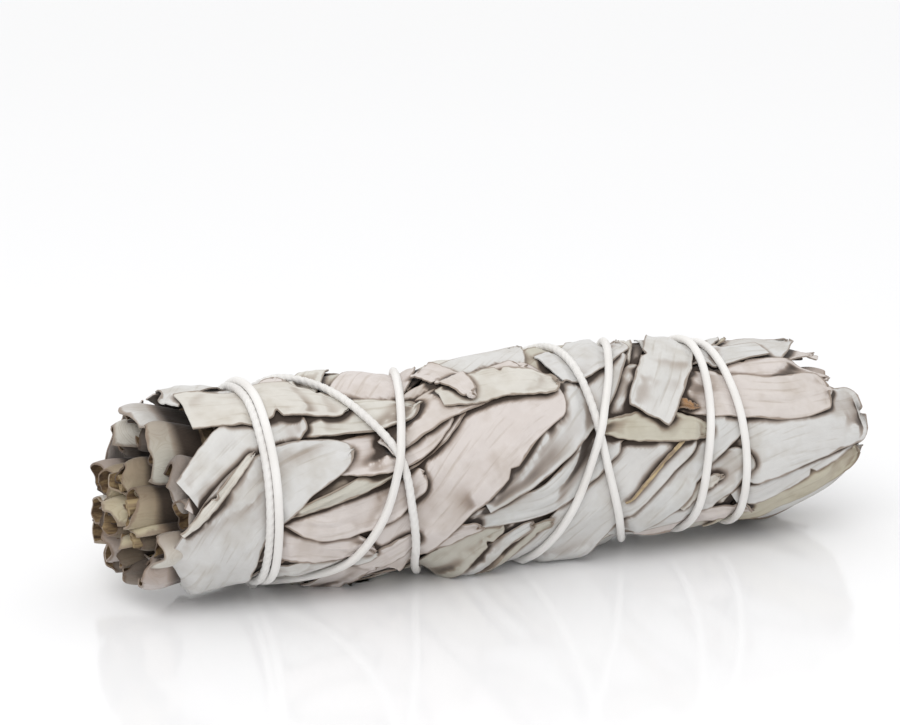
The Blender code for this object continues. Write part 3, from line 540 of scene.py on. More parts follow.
def string_line():
    """The string's line as closely spaced (along, around), in the order that it is wound."""
    around, along = np.array(STRING_ROUTE, float).T
    around, along = np.radians(-around), along * MM
    steps = math.ceil((around[-1] - around[0]) * STRING_RIDGE_RADIUS / STRING_STEP)
    turned = np.linspace(around[0], around[-1], steps)
    return smooth_curve(around, along, turned), -turned


def turn_between(one, other):
    """The angle from other to one, the shorter way round."""
    return (one - other + np.pi) % (2 * np.pi) - np.pi


def wedge_angles(sprig):
    """Where an outer sprig's wedge starts and ends."""
    start = WEDGE_PHASE + sprig * WEDGE
    return start, start + WEDGE


def wedge_at(around):
    """Which outer sprig's wedge an angle lies in."""
    return np.floor(((around - WEDGE_PHASE) % (2 * math.pi)) / WEDGE).astype(int)


class Wrap:
    """The bunch's surface as it grows: a grid of radii along and around, first of the packed
    inner leaves, then of each leaf that is laid on them. away is each cell's way to the string."""

    STEP = 0.5 * MM
    TURNS = 300
    START = -86 * MM
    LENGTH = 174 * MM

    def __init__(self):
        self.line = string_line()
        self.count = int(self.LENGTH / self.STEP)
        along = self.START + self.STEP * np.arange(self.count)
        around = 2 * math.pi * np.arange(self.TURNS) / self.TURNS
        line_along, line_around = (part[::3] for part in self.line)
        turn = np.abs(turn_between(around[:, None], line_around)) * PACKED_RADIUS
        self.away = np.array([np.hypot(at - line_along, turn).min(axis=1) for at in along])
        full = fullness(along[:, None], around[None])
        self.packed = self.packed_radius(along[:, None], around[None]) + PACKED_SHARE * full
        self.height = self.packed + (1 - PACKED_SHARE) * full + COURSE_RAISED

    def packed_radius(self, along, around):
        """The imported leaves' surface: lumpy, flat below, with the low places that the bunch lies
        on, and pinched along the string."""
        lumps = sum(np.sin(count * around + along / twist) for count, twist in LUMPS_AROUND)
        radius = bunch_radius(along) + LUMP * lumps
        radius = np.minimum(radius, FLAT_DEPTH / np.clip(-np.sin(around), 0.2, 1.0))
        for lump_along, lump_around in LOW_LUMPS:
            turn = np.abs(turn_between(around, math.radians(lump_around)))
            away = np.hypot(along - lump_along * MM, turn * PACKED_RADIUS)
            radius = radius + LOW_LUMP * np.exp(-((away / LOW_LUMP_WIDTH) ** 2))
        below = np.clip(-np.sin(around), 0.0, 1.0) ** 4
        under = UNDER_PINCH_DEPTH * below * np.exp(-((self.away / UNDER_PINCH_WIDTH) ** 4))
        pinch = PINCH_DEPTH * np.exp(-((self.away / PINCH_WIDTH) ** 2)) + under
        return np.maximum(radius - pinch, np.minimum(bunch_radius(along), LEAST_PINCHED_RADIUS))

    def read(self, grid, along, around):
        """A grid's value at each place, smoothly between its cells."""
        row = np.clip((along - self.START) / self.STEP, 0, self.count - 1.001)
        column = (around * self.TURNS / (2 * math.pi)) % self.TURNS
        top, left = row.astype(int), column.astype(int) % self.TURNS
        down, right = row - top, column - np.floor(column)
        upper = grid[top, left] * (1 - right) + grid[top, (left + 1) % self.TURNS] * right
        lower = grid[top + 1, left] * (1 - right) + grid[top + 1, (left + 1) % self.TURNS] * right
        return upper * (1 - down) + lower * down

    def under(self, along, around):
        """Radius of what lies outermost at each place or just beside it."""
        row = np.rint((along - self.START) / self.STEP).astype(int)
        column = np.rint(around * self.TURNS / (2 * math.pi)).astype(int)
        found = np.zeros(row.shape)
        for down in (-1, 0, 1):
            for side in (-1, 0, 1):
                at = (np.clip(row + down, 0, self.count - 1), (column + side) % self.TURNS)
                found = np.maximum(found, self.height[at])
        return found

    def lay(self, along, around, radius):
        """Records a laid leaf's outer face."""
        row = np.clip(np.rint((along - self.START) / self.STEP).astype(int), 0, self.count - 1)
        column = np.rint(around * self.TURNS / (2 * math.pi)).astype(int) % self.TURNS
        np.maximum.at(self.height, (row, column), radius)

    def smoothed(self, cells):
        """The surface's heights averaged over that many cells each way."""
        total = self.height
        for axis in (0, 1):
            shifted = [np.roll(total, k, axis=axis) for k in range(-cells, cells + 1)]
            total = sum(shifted) / len(shifted)
        return total


# Leaves.


@dataclass
class Leaf:
    """A leaf: the places that its midrib passes, and its width at the root, the middle and the tip.
    A leaf with a blade's outline has only its greatest width, at its middle."""

    route: tuple
    widths: tuple
    tint: float = IVORY
    square: bool = False
    blade: bool = False


def strip(route, widths, tint, square=False):
    """A leaf by its midrib's places, in millimetres and degrees, and its widths in millimetres."""
    places = tuple((along * MM, math.radians(around)) for along, around in route)
    return Leaf(places, tuple(width * MM for width in widths), tint, square)


def slanting(along, around, heading, length, width, bend=0.0, tint=IVORY):
    """A leaf that runs at an angle from +X, turning by bend along its length."""
    places = [(along, around)]
    for share in QUARTERS:
        turned = heading + bend * (share - MEAN_QUARTER)
        along = along + length / 4 * math.cos(turned)
        around = around + length / 4 * math.sin(turned) / (bunch_radius(min(along, LEAF_REACH)) + 3 * MM)
        places.append((along, around))
    return Leaf(tuple(places), (LEAF_ROOT_WIDTH, width, LEAF_TIP_WIDTH), tint, blade=True)


# The leaves that show on the side facing -Y, as they are seen: each lies over the one before.
FACING_LEAVES = (
    strip(((44, -62), (54, -30), (66, -12), (74, -6)), (6, 11, 4), OLIVE),
    strip(((46, -26), (55, -10), (64, 6), (74, 14)), (5, 8, 4), COOL),
    strip(((48, 2), (57, 10), (66, 18), (75, 18)), (6, 7, 3), IVORY),
    strip(((22, 2), (40, 6), (55, 20), (76, 27)), (9, 17, 9), COOL),
    strip(((26, -44), (38, -38), (50, -36)), (4, 6, 3), BLUSH),
    strip(((26, -36), (36, -18), (44, -1), (48, 8)), (6, 10, 6), COOL),
    strip(((34, -24), (38, -12), (42, -4)), (1.5, 3, 1.5), IVORY),
    strip(((20, -44), (30, -6), (36, 15), (46, 34)), (7, 12, 7), COOL),
    strip(((-4, -88), (8, -55), (16, -20), (23, 4), (36, 32)), (12, 15, 8), COOL),
    strip(((22, -14), (28, 7), (36, 27)), (0.4, 0.85, 0.5), STRAW),
    strip(((-8, -80), (-1, -44), (7, -20)), (3, 4, 2), OLIVE),
    strip(((-11, -80), (-5, -44), (3, -21)), (3, 4, 2), COOL),
    strip(((-17, -76), (-11, -38), (-3, -18)), (6, 9, 4), OLIVE),
    strip(((-17, -13), (-5, -9), (6, -4), (14, 17), (22, 44), (30, 66)), (4, 8, 7), COOL),
    strip(((-8, 2), (0, 17), (8, 36), (17, 60), (25, 88)), (6, 10, 9), COOL),
    strip(((-21, -24), (-14, -20), (-8, -15)), (4, 6, 3), BLUSH),
    strip(((-27, -40), (-20, -5), (-13, 22), (-2, 46), (9, 60)), (11, 16, 11), BLUSH),
    strip(((-37, -80), (-29, -38), (-20, -16)), (5, 7, 3), BLUSH),
    strip(((-52, -72), (-44, -38), (-36, -31), (-28, -25)), (8, 8, 3), COOL),
    strip(((-54, -16), (-45, -9), (-38, -14), (-29, -22)), (7, 9, 3), BLUSH),
    strip(((-46, 10), (-37, 2), (-28, 8), (-20, 22)), (5, 9, 5), BLUSH),
    strip(((-46, 11), (-34, 20), (-24, 29), (-15, 42), (-9, 56)), (2, 4, 2.5), BLUSH),
    strip(((-46, 16), (-38, 24), (-30, 26)), (3, 5, 3), OLIVE),
    strip(((-45, 9), (-36, 16), (-27, 25), (-18, 36)), (1.5, 3, 1.5), OLIVE),
    strip(((-37, 37), (-28, 37), (-21, 40), (-13, 54)), (6, 8, 5), BLUSH),
    strip(((-26, 38), (-17, 52), (-6, 62), (5, 70)), (4, 7, 5), BLUSH),
    strip(((10, 70), (18, 80), (28, 96)), (8, 9, 8), COOL),
    strip(((30, 70), (46, 64), (60, 62), (70, 60)), (4, 6, 3), BLUSH),
    strip(((30, 52), (44, 48), (58, 40), (68, 44)), (6, 10, 7), BLUSH),
    strip(((31, 41), (34, 43), (38, 41)), (1.0, 2.2, 1.0), TAN),
    strip(((32, 88), (44, 80), (58, 82)), (8, 8, 6), COOL, True),
    strip(((17, 35), (28, 32), (40, 26)), (2, 6, 3), OLIVE),
    strip(((46, 118), (38, 86), (33, 62), (27, 38)), (8, 9.5, 9), COOL, True),
    strip(((-14, 57), (-2, 62), (10, 57)), (4, 6, 3), IVORY),
    strip(((-52, 66), (-36, 63), (-18, 57)), (8, 9, 4), IVORY),
    strip(((-14, 88), (-10, 70), (-8, 54)), (5, 6, 2.5), BLUSH),
    strip(((-63, 24), (-57, 36), (-50, 51), (-40, 66)), (9, 12, 7), COOL),
    strip(((-61, 74), (-55, 76), (-45, 75), (-30, 70)), (9, 10, 5), IVORY),
    strip(((-60, -112), (-61, -70), (-59, -26), (-55, 6), (-45, 30), (-32, 40)), (13, 16.5, 5), COOL),
    strip(((-65, 4), (-58, 25), (-51, 43)), (1, 1.8, 1), IVORY),
)


# The rolled leaf ends: degrees around, millimetres from the axis, radius, where it ends along the
# bunch, how many times it is rolled, and its shade.
CUT_END_ROLLS = (
    (42, 14.6, 6.2, -67.5, 1.5, COOL),
    (13, 13.6, 5.0, -66.5, 1.2, COOL),
    (72, 15.4, 5.6, -69.5, 1.4, OLIVE),
    (-14, 11.6, 4.2, -70.5, 1.2, IVORY),
    (-46, 11.2, 4.8, -72.0, 1.3, BLUSH),
    (-80, 9.4, 4.8, -74.0, 1.3, IVORY),
    (-116, 9.8, 5.0, -75.0, 1.3, IVORY),
    (-153, 12.2, 5.2, -76.0, 1.3, HAY),
    (166, 13.4, 5.4, -75.0, 1.3, BLUSH),
    (100, 16.0, 5.6, -70.5, 1.4, COOL),
    (130, 15.6, 5.6, -72.0, 1.3, IVORY),
    (34, 6.6, 4.6, -73.5, 1.6, HAY),
    (85, 8.2, 5.0, -74.0, 1.5, HAY),
    (137, 7.4, 4.8, -75.5, 1.6, HAY),
    (-172, 7.0, 4.6, -76.5, 1.5, IVORY),
    (-121, 6.0, 4.6, -76.0, 1.5, BLUSH),
    (-69, 6.0, 4.4, -75.0, 1.5, HAY),
    (-18, 6.4, 4.4, -73.5, 1.5, HAY),
    (0, 0.6, 4.4, -76.5, 1.7, HAY),
)
ROLL_CRUMPLES = ((2, 0.14), (3, 0.10), (5, 0.05))  # waves round a roll, and their share of its radius
ROLL_RAGGED = ((1, 1.0), (2, 0.7), (3, 0.35), (7, 0.16))  # waves round its rim, and their millimetres
ROLL_MARGIN = 0.4  # a rolled end browns further in, as if its margin were this share as far off
ROLL_SHADE_FROM = 5 * MM  # from its rim, where a roll goes in among the others and is darkened by painted shade
ROLL_SHADE_OVER = 5 * MM
CUT_END_ROLLS_FROM = -56 * MM  # along, where they come out from among the leaves
TIP_ROLLS_FROM = 52 * MM
TIP_ROLLS = (
    (-58, 8.0, 4.6, 72.0, 1.2, OLIVE),
    (-10, 9.0, 5.0, 73.0, 1.3, IVORY),
    (38, 8.8, 5.0, 74.0, 1.3, COOL),
    (86, 9.2, 4.8, 74.0, 1.3, BLUSH),
    (135, 9.6, 5.0, 74.0, 1.2, IVORY),
    (-172, 9.0, 5.0, 73.5, 1.3, OLIVE),
    (-116, 8.4, 4.6, 72.5, 1.2, IVORY),
    (0, 1.0, 5.0, 76.0, 1.5, IVORY),
)


def rooted(along, around, heading):
    """A root's place moved back along the leaf to where its own wedge leaves room, and how far."""
    for back in np.arange(0, ROOT_BACK_MOST, ROOT_BACK_STEP) * MM:
        at_around = around - back * math.sin(heading) / PACKED_RADIUS
        inside = (at_around - WEDGE_PHASE) % WEDGE
        if WEDGE * ROOTS_FROM <= inside <= WEDGE * ROOTS_TO:
            return along - back * math.cos(heading), at_around, back
    return along, around, 0.0


def wrapping_leaves(draw):
    """The outer leaves all round, from the tips back to the cut end, so that each covers the last
    one's root. They grow from their own stem's wedge and wrap over the next."""
    planned = []
    for row in range(int((FIRST_LEAF - LAST_LEAF) / LEAF_SPACING)):
        for sprig in range(OUTER_SPRIGS):
            along = FIRST_LEAF - row * LEAF_SPACING - (sprig % 2) * LEAF_SPACING / 2
            along += draw.uniform(-3, 3) * MM
            back = (FIRST_LEAF - along) / (FIRST_LEAF - LAST_LEAF)
            heading = math.radians(14 + 52 * back + draw.uniform(-BROAD_STRAY, BROAD_STRAY))
            around = wedge_angles(sprig)[0] + WEDGE * draw.uniform(0.24, 0.45)
            along = max(along, LAST_LEAF + draw.uniform(0, 3) * MM)
            length, width = draw.uniform(*BROAD_LENGTH) * MM, draw.uniform(*BROAD_WIDTH) * MM
            bend = math.radians(draw.uniform(-BROAD_STRAY, BROAD_STRAY))
            planned.append(slanting(along, around, heading, length, width, bend))
    for _ in range(SLENDER_LEAVES):
        along = draw.uniform(-66, 48) * MM
        back = (FIRST_LEAF - along) / (FIRST_LEAF - LAST_LEAF)
        heading = math.radians(12 + 50 * back + draw.uniform(-SLENDER_STRAY, SLENDER_STRAY))
        length, width = draw.uniform(*SLENDER_LENGTH) * MM, draw.uniform(*SLENDER_WIDTH) * MM
        around = draw.uniform(0, 2 * math.pi)
        bend = math.radians(draw.uniform(-SLENDER_STRAY, SLENDER_STRAY))
        planned.append(slanting(along, around, heading, length, width, bend))
    planned.sort(key=lambda made: -made.route[0][0])
    for around in BUTT_LEAVES:
        heading = math.radians(BUTT_LEAF_HEADING + draw.uniform(-BUTT_LEAF_STRAY, BUTT_LEAF_STRAY))
        along = BUTT_LEAF_ALONG + draw.uniform(-1, 1) * MM
        along, around, back = rooted(along, math.radians(around), heading)
        length, width = draw.uniform(*BUTT_LEAF_LENGTH) * MM + back, draw.uniform(*BUTT_LEAF_WIDTH) * MM
        planned.append(slanting(along, around, heading, length, width, tint=COOL))
    return planned


def wave(draw, share, turns, amount):
    """A gentle random wave along a leaf: three sines of about that many turns, which together reach
    about 1.7 times one of them."""
    total = np.zeros_like(share)
    for _ in range(3):
        total += np.sin(share * 2 * np.pi * turns * draw.uniform(0.6, 1.4) + draw.uniform(0, A_TURN))
    return total * amount / 1.7


def half_widths(made, share, draw):
    """Half the leaf's width on one side, with a margin that is waved, uneven and here and there
    torn."""
    root, middle, tip = made.widths
    if made.blade:
        outline = np.sin(np.pi * np.clip(share, 0.0, 1.0) ** 1.15) ** 0.7
        half = np.maximum(middle * outline, np.minimum(root + (tip - root) * share, middle * 0.6)) / 2
    else:
        half = root * (1 - share) * (1 - 2 * share) + middle * 4 * share * (1 - share)
        half = (half + tip * share * (2 * share - 1)) / 2
    half = half * (1 + wave(draw, share, 1.5, 0.045)) + wave(draw, share, 9, 0.05 * MM)
    if draw.random() < TORN:
        torn_at = draw.uniform(0.35, 0.9)
        tear = np.clip(1 - np.abs(share - torn_at) / TEAR_LENGTH, 0, 1)
        half = half - draw.uniform(*TEAR_DEPTH) * MM * tear
    rounding = np.clip((share - TIP_ROUNDED_FROM) / (1 - TIP_ROUNDED_FROM), 0, 1)
    rounding = rounding * (SQUARE_TIP_ROUNDED if made.square else 1.0)
    return np.maximum(half * np.sqrt(np.maximum(1 - rounding**2, 0.02)), LEAST_HALF_WIDTH)


@dataclass
class LaidLeaf:
    """A leaf as it lies, as grids of points. side is the way from the midrib,
    down the way from the root, margin the way from the nearest edge, and across runs from -1
    to 1 between its margins."""

    sprig: int
    along: np.ndarray
    around: np.ndarray
    radius: np.ndarray
    side: np.ndarray
    down: np.ndarray
    margin: np.ndarray
    across: np.ndarray
    tint: float
    draw: random.Random


def midrib(made, rows):
    """The midrib's line as along, around and its heading, at each row of the leaf's grid."""
    along, around = np.array(made.route).T
    run = np.hypot(np.diff(along), np.diff(around) * STRING_RIDGE_RADIUS)
    gone = np.concatenate([[0], np.cumsum(run)])
    at = np.linspace(0, gone[-1], rows)
    along, around = smooth_curve(gone, along, at), smooth_curve(gone, around, at)
    reach = bunch_radius(np.minimum(along, LEAF_REACH)) + 3.5 * MM
    return along, around, reach, np.arctan2(np.gradient(around) * reach, np.gradient(along)), gone[-1]


def softened(grid):
    """Each value replaced by the mean of its four neighbours."""
    framed = np.pad(grid, 1, mode="edge")
    return (framed[:-2, 1:-1] + framed[2:, 1:-1] + framed[1:-1, :-2] + framed[1:-1, 2:]) / 4


def lay_leaf(wrap, made, thickness, draw):
    """Drapes a leaf over what has been laid, and records it there."""
    row_count, column_count = OTHER_GRID if made.blade else FACING_GRID
    along, around, reach, heading, length = midrib(made, row_count)
    share = np.linspace(0, 1, row_count)
    across = np.linspace(-1, 1, column_count)[None]
    across = np.sign(across) * np.abs(across) ** 0.85  # closer together at the margins
    left, right = half_widths(made, share, draw)[:, None], half_widths(made, share, draw)[:, None]
    side = np.where(across < 0, left * across, right * across)
    at_along = along[:, None] - np.sin(heading)[:, None] * side
    at_around = around[:, None] + np.cos(heading)[:, None] * side / reach[:, None]
    ragged_tip = wave(draw, across, 0.8, SQUARE_TIP_RAGGED if made.square else TIP_RAGGED)
    ragged_tip = ragged_tip * np.clip(share[:, None] * 10 - 9, 0, 1)
    at_along = at_along + ragged_tip * np.cos(heading)[:, None]
    at_around = at_around + ragged_tip * np.sin(heading)[:, None] / reach[:, None]
    at_along = at_along - np.maximum(at_along - LEAF_REACH + 1.5 * MM, 0.0) * HELD_BACK
    at_along = at_along + np.maximum(BUTT_REACH - at_along, 0.0) * HELD_BACK

    need = wrap.under(at_along, at_around) + LEAF_GAP
    radius = need.copy()
    for _ in range(DRAPE_STEPS if made.blade else 3 * DRAPE_STEPS):
        radius = np.maximum(need, softened(radius))

    rows = np.linspace(0, row_count - 1, LAY_FINELY * row_count)
    columns = np.linspace(0, column_count - 1, LAY_FINELY * column_count)
    wrap.lay(*(spread(grid, rows, columns) for grid in (at_along, at_around, radius + thickness)))

    margin = np.minimum(side + left, right - side)
    margin = np.minimum(margin, (1 - share[:, None]) * length)
    down = np.broadcast_to(share[:, None] * length, side.shape)
    sprig = int(wedge_at(made.route[0][1]))
    return LaidLeaf(sprig, at_along, at_around, radius, side, down, margin, across, made.tint, draw)


def loosened(wrap, one, thickness, curl):
    """How far a leaf lifts as it dries: where nothing lies on it, its margins curl up, and it
    buckles between them and along its midrib."""
    covered = wrap.read(wrap.height, one.along, one.around) - one.radius - thickness
    free = np.clip(1.0 - (covered - COVERED_FROM) / COVERED_OVER, 0.0, 1.0)
    for _ in range(4):
        free = np.minimum(free, softened(free))
    draw, across = one.draw, one.across
    share = np.linspace(0, 1, len(free))
    edge = np.abs(across)
    rims = [np.clip(wave(draw, share, 1.1, 0.8) + 0.1, 0, 1)[:, None] for _ in range(2)]
    lift = curl * np.where(across < 0, rims[0], rims[1]) * edge**6
    tip = curl * draw.uniform(0, 1.2) * np.clip(share[:, None] * 8 - 7, 0, 1) ** 2
    rib = RIB_HEIGHT * np.exp(-((one.side / RIB_WIDTH) ** 2)) * (1 - 0.6 * share[:, None])
    pleats = np.zeros_like(one.side)
    for _ in range(PLEATS):
        at = draw.uniform(-0.8, 0.8) + draw.uniform(-0.5, 0.5) * (share[:, None] - 0.5)
        height = draw.uniform(-0.2, 0.4) * MM * np.clip(wave(draw, share, 1.2, 0.6) + 0.5, 0, 1)[:, None]
        pleats = pleats + height * np.exp(-(((across - at) / draw.uniform(0.08, 0.22)) ** 2))
    billow = np.clip(wave(draw, share, 1.4, 0.5), -0.2, 1)[:, None] * BILLOW * np.cos(across * np.pi / 2)
    return (lift + tip + rib + pleats + billow) * free


def spread(grid, rows, columns):
    """A grid's values at those rows and columns, straight between its own."""
    top = np.minimum(rows.astype(int), grid.shape[0] - 2)
    left = np.minimum(columns.astype(int), grid.shape[1] - 2)
    down, right = (rows - top)[:, None], (columns - left)[None]
    upper = grid[top][:, left] * (1 - right) + grid[top][:, left + 1] * right
    lower = grid[top + 1][:, left] * (1 - right) + grid[top + 1][:, left + 1] * right
    return upper * (1 - down) + lower * down


@functools.cache
def wrapped_bunch():
    """The bunch's surface with every leaf laid on it, those leaves, and the string's points."""
    settings = bpy.context.scene.sage_leaves
    wrap = Wrap()
    laid = []
    for number, made in enumerate(wrapping_leaves(random.Random(SEED)) + list(FACING_LEAVES)):
        draw = random.Random(SEED * 1000 + number)
        if made.blade:
            made.tint = draw.choice((COOL, COOL, IVORY, IVORY, BLUSH, OLIVE))
        made.tint += draw.uniform(-0.04, 0.04)
        laid.append(lay_leaf(wrap, made, settings.thickness, draw))
    string = StringPath(wrap, bpy.context.scene.sage_string.radius)
    return wrap, laid, string


class StringPath:
    """The string's place over the leaves, and how low it presses them."""

    def __init__(self, wrap, radius):
        self.wrap = wrap
        self.thick = radius
        self.along, self.around = wrap.line
        self.radius = self.wound()
        self.points = place(self.along, self.around, self.radius)
        self.surface = wrap.smoothed(1)
        self.limit = self.pressed_limit()

    def eased(self, values, steps):
        """The values averaged along the string, so that they turn smoothly."""
        window = np.hanning(2 * steps + 3)
        window /= window.sum()
        return np.convolve(np.pad(values, steps + 1, mode="edge"), window, mode="valid")

    def taut(self, need):
        """The radii with the string drawn straight across hollows."""
        radius = need.copy()
        for _ in range(TAUT_STEPS):
            radius[1:-1] = np.maximum(need[1:-1], (radius[:-2] + radius[2:]) / 2)
        return radius

    def wound(self):
        """Its radii, laid over the leaves and over what was wound before."""
        need = self.wrap.read(self.wrap.height, self.along, self.around) + self.thick - STRING_PRESS
        need = self.taut(self.eased(need, STRING_EASING))
        turn = turn_between(self.around[:, None], self.around) * STRING_RIDGE_RADIUS
        away = np.hypot(self.along[:, None] - self.along, turn)
        order = np.arange(len(self.along))
        close = (away < 2 * self.thick) & (order[:, None] - order > CROSSING_MIN_STEPS)
        later, earlier = np.nonzero(close)
        over = np.sqrt((2 * self.thick) ** 2 - away[later, earlier] ** 2)
        for _ in range(CROSSING_ROUNDS):
            np.maximum.at(need, later, self.taut(need)[earlier] + over * CROSSING_SUNK)
        radius = self.eased(self.taut(need), 4)
        room_below = lying().translation.z - STRING_OFF_TABLE * self.thick
        table = room_below / np.clip(-np.sin(self.around), 0.05, 1.0)
        return np.minimum(radius, table)

    def pressed_limit(self):
        """For each cell of the wrap, how far out leaves can be under and beside the string."""
        wrap = self.wrap
        limit = np.full_like(wrap.height, UNLIMITED)
        rows = np.arange(-GROOVE_CELLS[0], GROOVE_CELLS[0] + 1)[:, None]
        columns = np.arange(-GROOVE_CELLS[1], GROOVE_CELLS[1] + 1)[None]
        for along, around, radius in zip(self.along, self.around, self.radius):
            row = round((along - wrap.START) / wrap.STEP) + rows
            column = round(around * wrap.TURNS / (2 * math.pi)) + columns
            side = turn_between(column * 2 * math.pi / wrap.TURNS, around) * radius
            away = np.hypot(wrap.START + row * wrap.STEP - along, side)
            beside = np.clip((away - 0.5 * self.thick) / STRING_GROOVE, 0.0, 1.0)
            room = radius - self.thick * STRING_SUNK + STRING_GROOVE_DEPTH * beside**2
            room = np.where(away < STRING_GROOVE * GROOVE_PAST, room, UNLIMITED)
            cells = (np.clip(row, 0, wrap.count - 1), column % wrap.TURNS)
            limit[cells] = np.minimum(limit[cells], room)
        return limit

    def pressed(self, one, lift):
        """A leaf's radii with the string pressing everything under it inwards, with that lift of
        its own where the string leaves room, and its end turned in over the cut end."""
        surface = self.wrap.read(self.surface, one.along, one.around)
        room = self.wrap.read(self.limit, one.along, one.around) - surface
        share = np.clip(room / STRING_ROOM, 0.0, 1.0)
        below = np.clip(-np.sin(one.around), 0.0, 1.0)
        past = np.clip((TUCK_FROM - one.along) / TUCK_LENGTH + TUCK_BELOW * below, 0.0, TUCK_MOST)
        before = np.clip((one.along - TUCK_FROM) / TUCK_BELOW_OVER, 0.0, 1.0)
        past = np.maximum(past - TUCK_BELOW * below * before, 0.0)
        return one.radius + lift * share + np.minimum(room, 0.0) - TUCK * past**2


# Shared steps for making meshes.


def deselect_all():
    """Leaves edit mode, with nothing selected."""
    if bpy.context.object and bpy.context.object.mode != "OBJECT":
        bpy.ops.object.mode_set(mode="OBJECT")
    bpy.ops.object.select_all(action="DESELECT")


def select_only(*objects):
    """Selects these alone, the first of them active."""
    deselect_all()
    for obj in objects:
        obj.select_set(True)
    bpy.context.view_layer.objects.active = objects[0]


def new_primitive(operator, name, **sizes):
    """Adds a primitive with bpy.ops, alone selected, under its piece's name."""
    deselect_all()
    operator(**sizes)
    made = bpy.context.object
    made.name = name
    made.data.name = name
    return made


def copy_of(blank, name):
    """A copy with its own mesh."""
    made = blank.copy()
    made.data = blank.data.copy()
    made.name = name
    bpy.context.collection.objects.link(made)
    return made


def remove(obj):
    """Deletes an object and its mesh."""
    mesh = obj.data
    bpy.data.objects.remove(obj)
    bpy.data.meshes.remove(mesh)


def set_points(obj, points):
    """Moves a mesh's points to these."""
    obj.data.vertices.foreach_set("co", np.asarray(points, np.float32).ravel())
    obj.data.update()


def set_attribute(obj, name, values):
    """Gives each point of a mesh a value that its material reads."""
    made = obj.data.attributes.get(name) or obj.data.attributes.new(name, "FLOAT", "POINT")
    made.data.foreach_set("value", np.asarray(values, np.float32).ravel())


def apply_modifier(obj, kind, **settings):
    """Adds a modifier and applies it."""
    select_only(obj)
    added = obj.modifiers.new(kind.lower(), kind)
    for name, value in settings.items():
        setattr(added, name, value)
    bpy.ops.object.modifier_apply(modifier=added.name)


def joined(objects, name):
    """The objects as one piece."""
    select_only(*objects)
    if len(objects) > 1:
        bpy.ops.object.join()
    made = bpy.context.object
    made.name = name
    made.data.name = name
    return made


def smooth(obj):
    """Shades a piece smoothly, apart from its sharp edges."""
    select_only(obj)
    bpy.ops.object.shade_smooth_by_angle(angle=math.radians(50))


def kept_off_the_table(obj):
    """Presses what would reach under the table's surface flat on it."""
    for vert in obj.data.vertices:
        if vert.co.z < 0.05 * MM:
            vert.co.z = 0.05 * MM


def finished(obj, slot, *replaced):
    """Puts a piece where the bunch lies, and hides the imported parts that it stands for. slot is not used.
    """
    obj.data.transform(lying())
    kept_off_the_table(obj)
    obj.data.update()
    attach(obj, BODY)
    if replaced:
        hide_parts(*replaced)


def grid_blank(name, rows, columns):
    """A flat grid from a primitive, and the order of its points as rows and columns."""
    blank = new_primitive(
        bpy.ops.mesh.primitive_grid_add, name, x_subdivisions=rows - 1, y_subdivisions=columns - 1, size=2
    )
    flat = np.array([vert.co[:2] for vert in blank.data.vertices])
    row = np.rint((flat[:, 0] + 1) / 2 * (rows - 1)).astype(int)
    column = np.rint((flat[:, 1] + 1) / 2 * (columns - 1)).astype(int)
    return blank, (row, column)


def set_map(obj, across, down):
    """A UV map in millimetres: across the leaf and down its length."""
    layer = obj.data.uv_layers.active or obj.data.uv_layers.new(name="leaf_millimetres")
    corners = np.zeros(len(obj.data.loops), int)
    obj.data.loops.foreach_get("vertex_index", corners)
    values = np.stack([across[corners], down[corners]], axis=-1)
    layer.data.foreach_set("uv", values.astype(np.float32).ravel())


# Operators.


class LeafSettings(bpy.types.PropertyGroup):
    """Thickness and margin curl of the leaves."""

    thickness: bpy.props.FloatProperty(
        name="Thickness", description="Thickness of a dried leaf with its felt",
        default=0.27 * MM, unit="LENGTH",
    )
    margin_curl: bpy.props.FloatProperty(
        name="Margin curl", description="How far a leaf's margin curls off what is under it",
        default=0.7 * MM, unit="LENGTH",
    )


class RolledEndSettings(bpy.types.PropertyGroup):
    """Sizes of the rolled leaf ends."""

    thickness: bpy.props.FloatProperty(
        name="Thickness", description="Thickness of a rolled leaf end", default=0.35 * MM, unit="LENGTH"
    )
    cut_end_scale: bpy.props.FloatProperty(
        name="Cut end size", description="Size of the rolls in the cut end, as a share",
        default=1.0, subtype="FACTOR",
    )
    tip_scale: bpy.props.FloatProperty(
        name="Tip size", description="Size of the rolls among the tips, as a share",
        default=1.0, subtype="FACTOR",
    )


class StringSettings(bpy.types.PropertyGroup):
    """The string's own make."""

    radius: bpy.props.FloatProperty(
        name="Radius", description="Radius of the string", default=STRING_RADIUS, unit="LENGTH"
    )
    lay: bpy.props.FloatProperty(
        name="Lay", description="Length in which the plies go once round", default=5.0 * MM, unit="LENGTH"
    )


class StageSettings(bpy.types.PropertyGroup):
    """Light and backdrop."""

    backdrop: bpy.props.FloatVectorProperty(
        name="Backdrop", description="Colour of the backdrop", subtype="COLOR", size=3,
        default=linear("#FFFFFF"),
    )
    key_power: bpy.props.FloatProperty(
        name="Key light", description="Power of the soft light above", default=1.5, unit="POWER"
    )


